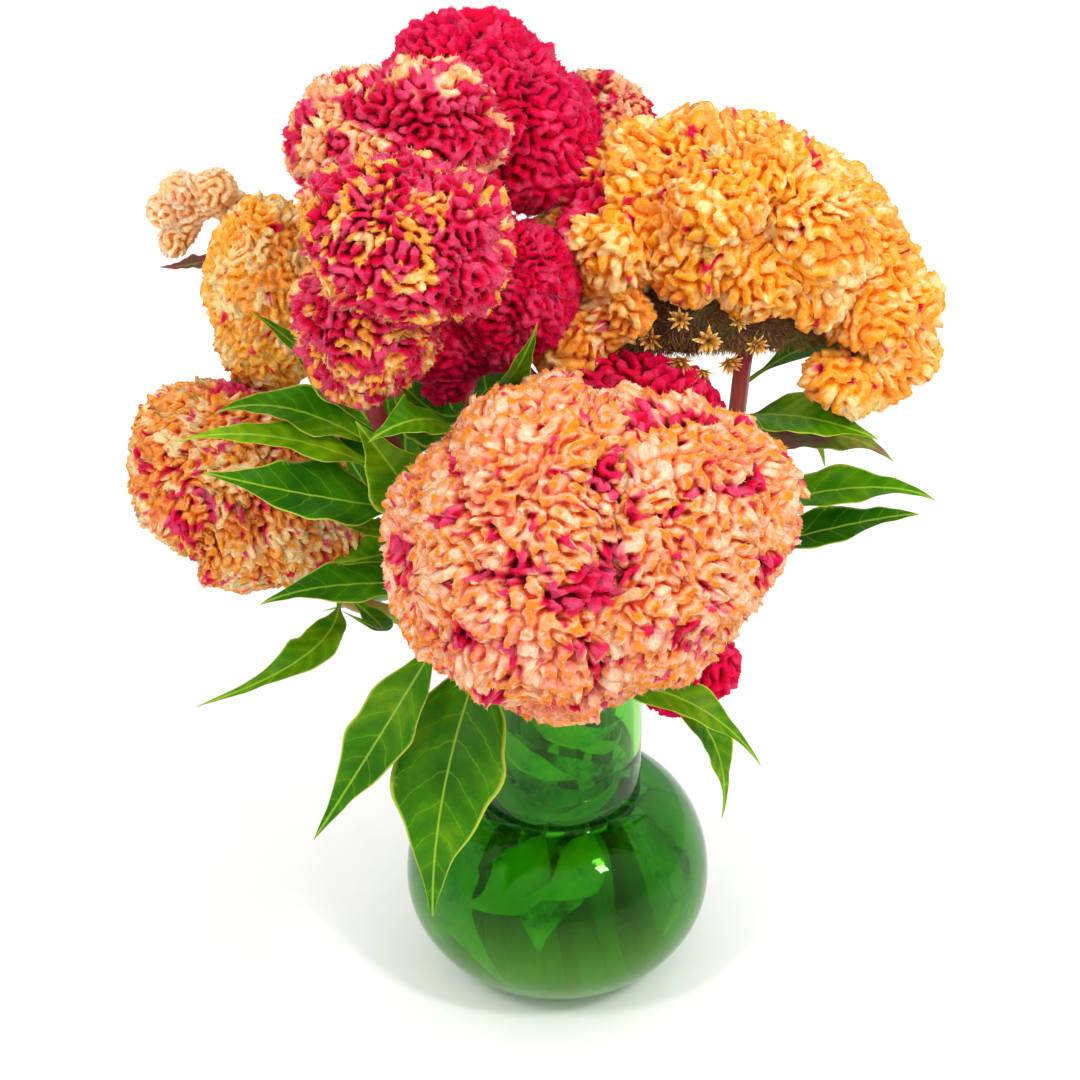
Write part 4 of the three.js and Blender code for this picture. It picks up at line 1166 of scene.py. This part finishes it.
def ribbed_rod(line, radius, rows=64, sides=14, ribs=7, seed=0):
    """Points and faces of a stem along a line, with low ribs and small knots."""
    t = np.linspace(0, 1, rows)
    centre = smooth_line(line, t)
    along = unit(smooth_line(line, t + 2e-3) - smooth_line(line, t - 2e-3))
    across = [unit(np.cross(along[0], (1.0, 0.2, 0.1)))]
    for direction in along[1:]:
        across.append(unit(across[-1] - direction * (across[-1] @ direction)))
    across = np.array(across)
    out = np.cross(along, across)
    angle = np.linspace(0, 2 * np.pi, sides, endpoint=False)
    knots = np.random.default_rng(seed).uniform(0.05, 0.95, KNOTS)
    wide = radius * (1 + RIB_HEIGHT * np.cos(ribs * angle)[None])
    wide = wide * (1 + KNOT_HEIGHT * np.exp(-((t[:, None] - knots) / KNOT_LENGTH) ** 2).sum(1))[:, None]
    points = (centre[:, None] + wide[..., None] * (np.cos(angle)[None, :, None] * across[:, None]
                                                   + np.sin(angle)[None, :, None] * out[:, None]))
    return points.reshape(-1, 3), tube_faces(rows, sides), np.repeat(t, sides)


print("a stem is", 2 * STEM_RADIUS, "mm thick, and a side shoot", 2 * SHOOT_RADIUS, "mm")

# %% [markdown]
# ## Leaf and stem finishes
# The green of a leaf isn't one green: the midrib and veins are pale, the edge is yellowish,
# the underside is duller, and some leaves are flushed with purple. Each blade keeps its own
# vein numbers, so the shader can draw veins that follow the blade without an unwrap.

# %% Leaf and stem finishes
def leaf_finish():
    f = Finish("celosia_leaf")
    across = f.math("ABSOLUTE", f.number("across"))
    reach = f.times(across, f.number("width"))
    # PINGPONG runs from 0 on a side vein to 0.5 between two of them
    vein = f.math("PINGPONG", f.math("ADD", f.number("vein"), f.swing(f.noise(110, 2), 0.5)), 0.5)
    cells = f.noise(420, 3, rough=0.6)
    tone = f.math("ADD", f.times(f.noise(38, 3), 0.7), f.times(f.number("tint"), 0.3))
    green = f.ramp(tone, [(0.25, "1C5000"), (0.5, "3E7C00"), (0.75, "80A804")])
    green = f.shade_by(0.3, green, cells, (0.3, 0.62), (0.7, 1.3))
    side_line = f.ramp(vein, [(0.0, 0.34), (0.02, 0.22), (0.05, 0.0)])
    between = f.ramp(vein, [(0.1, 0.0), (0.5, 0.35)])
    midrib = f.ramp(reach, [(0.0, 0.75), (0.3, 0.6), (0.75, 0.0)])
    margin = f.ramp(across, [(0.91, 0.0), (0.98, 0.8)])
    under = f.times(f.number("under"), 0.6)
    purple = f.times(f.number("blush"), f.ramp(f.noise(70, 2), [(0.35, 0.2), (0.6, 0.8)]))
    for share, shade in ((side_line, "7EAE20"), (between, "1F5A06"), (midrib, "9CC43A"),
                         (margin, "CCDC50"), (under, "6C9828"), (purple, "8A2E5A")):
        green = f.mix(share, green, shade)
    relief = f.bump(side_line, 0.5, 0.35, f.bump(cells, 0.5, 0.35))
    return f.set(Base_Color=green, Normal=relief, Roughness=0.42, Specular_IOR_Level=0.1,
                 Subsurface_Weight=0.08, Subsurface_Radius=(0.4, 1.0, 0.1), Subsurface_Scale=1.5 * MM)


def stem_finish():
    f = Finish("celosia_stem")
    run, streak = f.number("along"), f.noise(240, 3)
    shade = f.ramp(run, [(0.0, "4E8A0C"), (0.35, "5C9A14"), (0.7, "86AE34"), (0.88, "A8703C"),
                         (1.0, "A83048")])
    streaks = f.times(f.ramp(streak, [(0.4, 0.0), (0.7, 0.5)]), f.ramp(run, [(0.3, 0.1), (0.8, 1.0)]))
    return f.set(Base_Color=f.mix(streaks, shade, "A03450"), Normal=f.bump(streak, 0.4, 0.4),
                 Roughness=0.4, Specular_IOR_Level=0.25)


GREEN_FINISHES = [leaf_finish(), stem_finish()]
print("green finishes:", [finish.name for finish in GREEN_FINISHES])

# %% Each leafy stem is one piece
NUMBERS = ("across", "width", "vein", "under", "along", "blush", "tint")


def joined(name, parts, materials):
    """One piece from parts of (points, faces, numbers, material slot)."""
    faces, slots, start = [], [], 0
    for points, part_faces, _, slot in parts:
        faces += [[corner + start for corner in face] for face in part_faces]
        slots += [slot] * len(part_faces)
        start += len(points)
    piece = piece_from(name, np.vstack([part[0] for part in parts]), faces, materials, slots)
    for key in NUMBERS:
        keep_on(piece.data, key, np.concatenate([numbers.get(key, np.zeros(len(points)))
                                                 for points, _, numbers, _ in parts]))
    return piece


for key, line in STEM_LINES.items():
    rod, faces, run = ribbed_rod(line, STEM_RADIUS, seed=len(key))
    parts = [(rod, faces, {"along": run}, 1)]
    if key in SHOOT_LINES:
        shoot, faces, run = ribbed_rod(SHOOT_LINES[key], SHOOT_RADIUS, rows=30, sides=10, ribs=5)
        parts.append((shoot, faces, {"along": 0.6 + 0.4 * run}, 1))
    for number, (share, middle, tip, width, face, extras) in enumerate(LEAVES[key]):
        extras = dict(extras)
        carrier = SHOOT_LINES[key] if extras.pop("shoot", False) else line
        root = smooth_line(carrier, share)[0]
        parts.append((*blade(root, middle, tip, width, face, 10 * len(key) + number, **extras), 0))
    give(joined(f"leafy_stem_{key}", parts, GREEN_FINISHES), "leaf", f"stem_{key}")

# %% [markdown]
# ## Leaves under water
# Some leaves were left on the stems when the bunch was put in its vase. They press against
# the glass and fill the bulb with green, and others wind round inside the neck. They are made
# as the other blades are, with their places given by turn, radius and height.

# %% Submerged leaves
def wet_finish():
    """Leaves under water, brighter and more even than those outside as painted light for the light reaching
    them through the glass, and partly yellow.
    """
    f = Finish("soaked_leaf_painted_bright")
    tone = f.math("ADD", f.times(f.noise(70, 4, rough=0.7), 0.9), f.times(f.number("tint"), 0.35))
    # bright yellow greens: painted light that stands in for the light through the glass
    shade = f.ramp(tone, [(0.4, "0E4A04"), (0.5, "2CA414"), (0.62, "8CDC20"), (0.76, "E0E848")])
    return f.set(Base_Color=shade, Roughness=0.5, Specular_IOR_Level=0.1, Subsurface_Weight=0.0)


WET_ROWS, WET_WAVE, WET_TILT = 16, 1 / 30, 0.35
WET_LEAVES = [  # (azimuth, radius, height) of root, middle and tip, and the width
    ((232, 24, 96), (212, 56, 66), (250, 62, 24), 40), ((258, 22, 98), (248, 54, 78), (226, 66, 64), 30),
    ((282, 22, 92), (262, 46, 72), (262, 62, 46), 40), ((300, 24, 98), (280, 50, 84), (252, 58, 74), 26),
    ((318, 22, 100), (334, 56, 70), (318, 66, 44), 30), ((330, 24, 104), (350, 60, 80), (334, 68, 46), 34),
    ((10, 24, 104), (24, 58, 72), (50, 62, 34), 46), ((60, 24, 100), (80, 56, 76), (100, 62, 40), 50),
    ((110, 24, 100), (126, 56, 70), (146, 62, 34), 50), ((160, 24, 104), (180, 58, 78), (200, 66, 44), 46),
    ((190, 33, 160), (250, 36, 140), (312, 33, 128), 12),
    ((200, 33, 142), (262, 36, 122), (330, 33, 116), 11),
    ((215, 33, 174), (280, 36, 158), (350, 33, 150), 13),
    ((180, 33, 128), (240, 35, 112), (300, 33, 108), 10),
    ((230, 33, 152), (290, 35, 136), (345, 33, 130), 9),
    ((40, 33, 160), (100, 36, 144), (160, 33, 132), 12),
    ((205, 31, 134), (265, 34, 110), (335, 31, 104), 9),
    ((240, 31, 168), (300, 35, 148), (355, 32, 140), 8),
    ((300, 34, 116), (250, 35, 108), (205, 34, 112), 8),
    ((345, 34, 122), (290, 36, 112), (230, 34, 104), 7),
]
parts = []
for number, (root, middle, tip, width) in enumerate(WET_LEAVES):
    spots = [on_ring(radius, azimuth, height) for azimuth, radius, height in (root, middle, tip)]
    outward = on_ring(1, middle[0], WET_TILT)
    parts.append((*blade(*spots, width, outward, 200 + number, wave=width * WET_WAVE, rows=WET_ROWS), 0))
give(joined("submerged_leaves", parts, [wet_finish()]), "leaf")
print(len(WET_LEAVES), "leaves inside the vase")

# %% [markdown]
# ## Vase and water
# The vase is blown glass: a squat bulb that narrows into a straight neck, with a rounded rim.
# A screw modifier could turn the outline, but the wall has to stay the same as in the solids,
# so the outline is turned here in fine steps. The water is a body of its own. It reaches a
# hair into the glass, since a thin film of air between them would mirror the light.

# %% Turned outlines
TURN_STEPS, BULB_STEPS = 84, 16


def bulb(start, shrink):
    """Outline of the bulb from the foot over the belly to the shoulder."""
    belly, neck, belly_height = VASE["belly"] - shrink, VASE["neck"] - shrink, VASE["belly_height"]
    first = math.acos(start[0] / belly)
    outline = []
    for k in range(BULB_STEPS + 1):
        angle = first * (1 - k / BULB_STEPS)
        fall = (belly_height - start[1]) * math.sin(angle) / math.sin(first)
        outline.append((belly * math.cos(angle), belly_height - fall))
    for k in range(1, BULB_STEPS + 1):
        angle = math.pi / 2 * k / BULB_STEPS
        outline.append((neck + (belly - neck) * math.cos(angle),
                        belly_height + (VASE["shoulder_height"] - belly_height) * math.sin(angle)))
    return outline


def turned(name, outline, material):
    """A closed body turned round the upright axis. The outline starts and ends on the axis."""
    outline = np.array(outline, float)
    angle = np.linspace(0, 2 * np.pi, TURN_STEPS, endpoint=False)
    rings = [(r * np.cos(angle), r * np.sin(angle), np.full(TURN_STEPS, z)) for r, z in outline[1:-1]]
    points = np.concatenate([np.stack(ring, 1) for ring in rings])
    first, last = len(points), len(points) + 1
    points = np.vstack([points, (0, 0, outline[0][1]), (0, 0, outline[-1][1])])
    faces = grid_faces(len(rings), TURN_STEPS, closed=True).tolist()
    top = (len(rings) - 1) * TURN_STEPS
    for k in range(TURN_STEPS):
        after = (k + 1) % TURN_STEPS
        faces.append([first, after, k])
        faces.append([last, top + k, top + after])
    return piece_from(name, points, faces, [material])


print("the belly is widest", max(bulb((VASE["foot"], 0.8), 0))[1], "mm above the foot")

# %% Glass
def glass_finish():
    """Clear green glass that turns partly opaque near the foot, where its pale green is painted light from
    the floor below.
    """
    f = Finish("green_glass")
    height = f.node("ShaderNodeSeparateXYZ")
    f.link(f.place(), height.inputs[0])
    # near the foot the glass turns partly opaque: a painted pale glow that stands in for the floor's light
    # through the base
    clear_above_painted_foot = f.ramp(height.outputs["Z"], [(0.0, 0.74), (0.045, 0.86), (0.07, 1.0)])
    return f.set(Base_Color=colour("8CE048"), Normal=f.bump(f.noise(30, 2), 1.0, 0.3), Roughness=0.0,
                 IOR=1.45, Specular_Tint=colour("A8CC90"), Transmission_Weight=clear_above_painted_foot)


top, floor_height, foot, lip = VASE["height"], VASE["floor"], VASE["foot"], VASE["lip"]
neck, bore = VASE["neck"], VASE["neck"] - VASE["wall"]
outside = [(0, 0), (foot - 2, 0)] + bulb((foot, 0.8), 0)
outside += [(neck + 0.6, 105), (neck, 110), (neck, 140), (neck, 168), (neck + 0.7, 174),
            (lip - 0.4, 177.5), (lip, 179), (lip - 0.5, 179.8), (lip - 1.5, top)]
inside = [(0, floor_height), (foot - 6, floor_height)] + bulb((foot, floor_height), VASE["wall"])
inside += [(bore + 0.6, 104), (bore, 110), (bore, 140), (bore, 168), (bore + 0.9, 175),
           (lip - 3.1, 179), (lip - 2.4, 179.8)]
vase = turned("glass_vase", outside + inside[::-1], glass_finish())
give(vase, "green_glass", "vase")

# %% Water
WATER_LEVEL, FILM, CLIMB = 129, 0.15, (0.9, 0.2)  # the water climbs a little at the glass


def water_finish():
    f = Finish("still_water")
    return f.set(Base_Color=colour("B4F084"), Normal=f.bump(f.noise(14, 1), 0.4, 0.1), Roughness=0.0,
                 IOR=1.33, Transmission_Weight=1.0)


wet = [(r + FILM if r else 0, z - (FILM if z == floor_height else 0)) for r, z in inside if z < WATER_LEVEL]
wet += [(bore + FILM, WATER_LEVEL + CLIMB[0]), (bore - 0.8, WATER_LEVEL + CLIMB[1]),
        (bore - 2.2, WATER_LEVEL), (0, WATER_LEVEL)]
water = turned("vase_water", wet, water_finish())
give(water, "water", "water")
print("water stands", WATER_LEVEL, "mm high")

# %% [markdown]
# ## Floor, light and camera
# A bunch in a vase is best seen in soft daylight. One bright lamp would give hard shadows, so
# the light comes from a pale sky that grows brighter with height, and from two small soft
# windows in front, left and right, which give the folds and the glass their highlights. The
# floor is plain and pale. The camera looks down at about 30 degrees.

# %% Floor
FLOOR_HALF = 4000
floor_finish = Finish("pale_floor")
grey = floor_finish.ramp(floor_finish.noise(60, 2), [(0.3, 0.94), (0.7, 0.96)])
floor_finish.set(Base_Color=grey, Roughness=0.8, Specular_IOR_Level=0.2)
corners = [(x * FLOOR_HALF, y * FLOOR_HALF, 0) for x, y in ((-1, -1), (1, -1), (1, 1), (-1, 1))]
floor = piece_from("floor", corners, [(0, 1, 2, 3)], [floor_finish.material])
print("the floor is", 2 * FLOOR_HALF * MM, "metres wide")

# %% Sky and windows
SKY = ((0.05, 0.7), (0.4, 0.93), (0.7, 1.18))  # height of the direction, brightness
world = bpy.data.worlds.new("soft_white_sky")
world.use_nodes = True
nodes, links = world.node_tree.nodes, world.node_tree.links
way, height, sky = (nodes.new(f"ShaderNode{kind}") for kind in ("TexCoord", "SeparateXYZ", "ValToRGB"))
links.new(way.outputs["Generated"], height.inputs[0])
links.new(height.outputs["Z"], sky.inputs["Fac"])
links.new(sky.outputs["Color"], nodes["Background"].inputs["Color"])
sky.color_ramp.elements.new(0.5)
for element, (at, light) in zip(sky.color_ramp.elements, SKY):
    element.position, element.color = at, (light, light, light, 1)
bpy.context.scene.world = world


def soft_window(name, at, towards, size, watts):
    """A flat area light, size millimetres wide and high, that faces a point."""
    light = bpy.data.lights.new(name, "AREA")
    light.shape, light.size, light.size_y = "RECTANGLE", size[0] * MM, size[1] * MM
    light.energy = watts
    lamp = bpy.data.objects.new(name, light)
    lamp.location = Vector(at) * MM
    lamp.rotation_euler = (Vector(towards) - Vector(at)).to_track_quat("-Z", "Y").to_euler()
    bpy.context.scene.collection.objects.link(lamp)
    print(name, "gives", watts, "watts")


soft_window("window_left", (-700, -800, 1300), (0, 0, 250), (160, 300), 5.5)
soft_window("window_right", (700, -700, 1200), (0, 0, 250), (160, 240), 7)
bpy.context.scene.view_settings.view_transform = "Standard"

# %% Camera
CAMERA = {"at": (-9, -1039.2, 846), "tilt": 60, "lens": 83.33, "sensor": 36}
camera_data = bpy.data.cameras.new("camera")
camera_data.lens, camera_data.sensor_width = CAMERA["lens"], CAMERA["sensor"]
camera = bpy.data.objects.new("camera", camera_data)
camera.location = Vector(CAMERA["at"]) * MM
camera.rotation_euler = (math.radians(CAMERA["tilt"]), 0, 0)
bpy.context.scene.collection.objects.link(camera)
bpy.context.scene.camera = camera
print("camera looks down at", 90 - CAMERA["tilt"], "degrees")

# %% [markdown]
# ## Closing
# The pieces that the script added are counted in triangles.

# %% Triangle counts and the end
def plain(corner):
    return [round(float(value), 5) for value in corner]


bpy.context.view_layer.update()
counts = [triangles(piece) for piece in bpy.data.objects
          if piece.type == "MESH" and "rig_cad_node" not in piece]
print(sum(counts), "triangles in all, at most", max(counts), "in one piece")
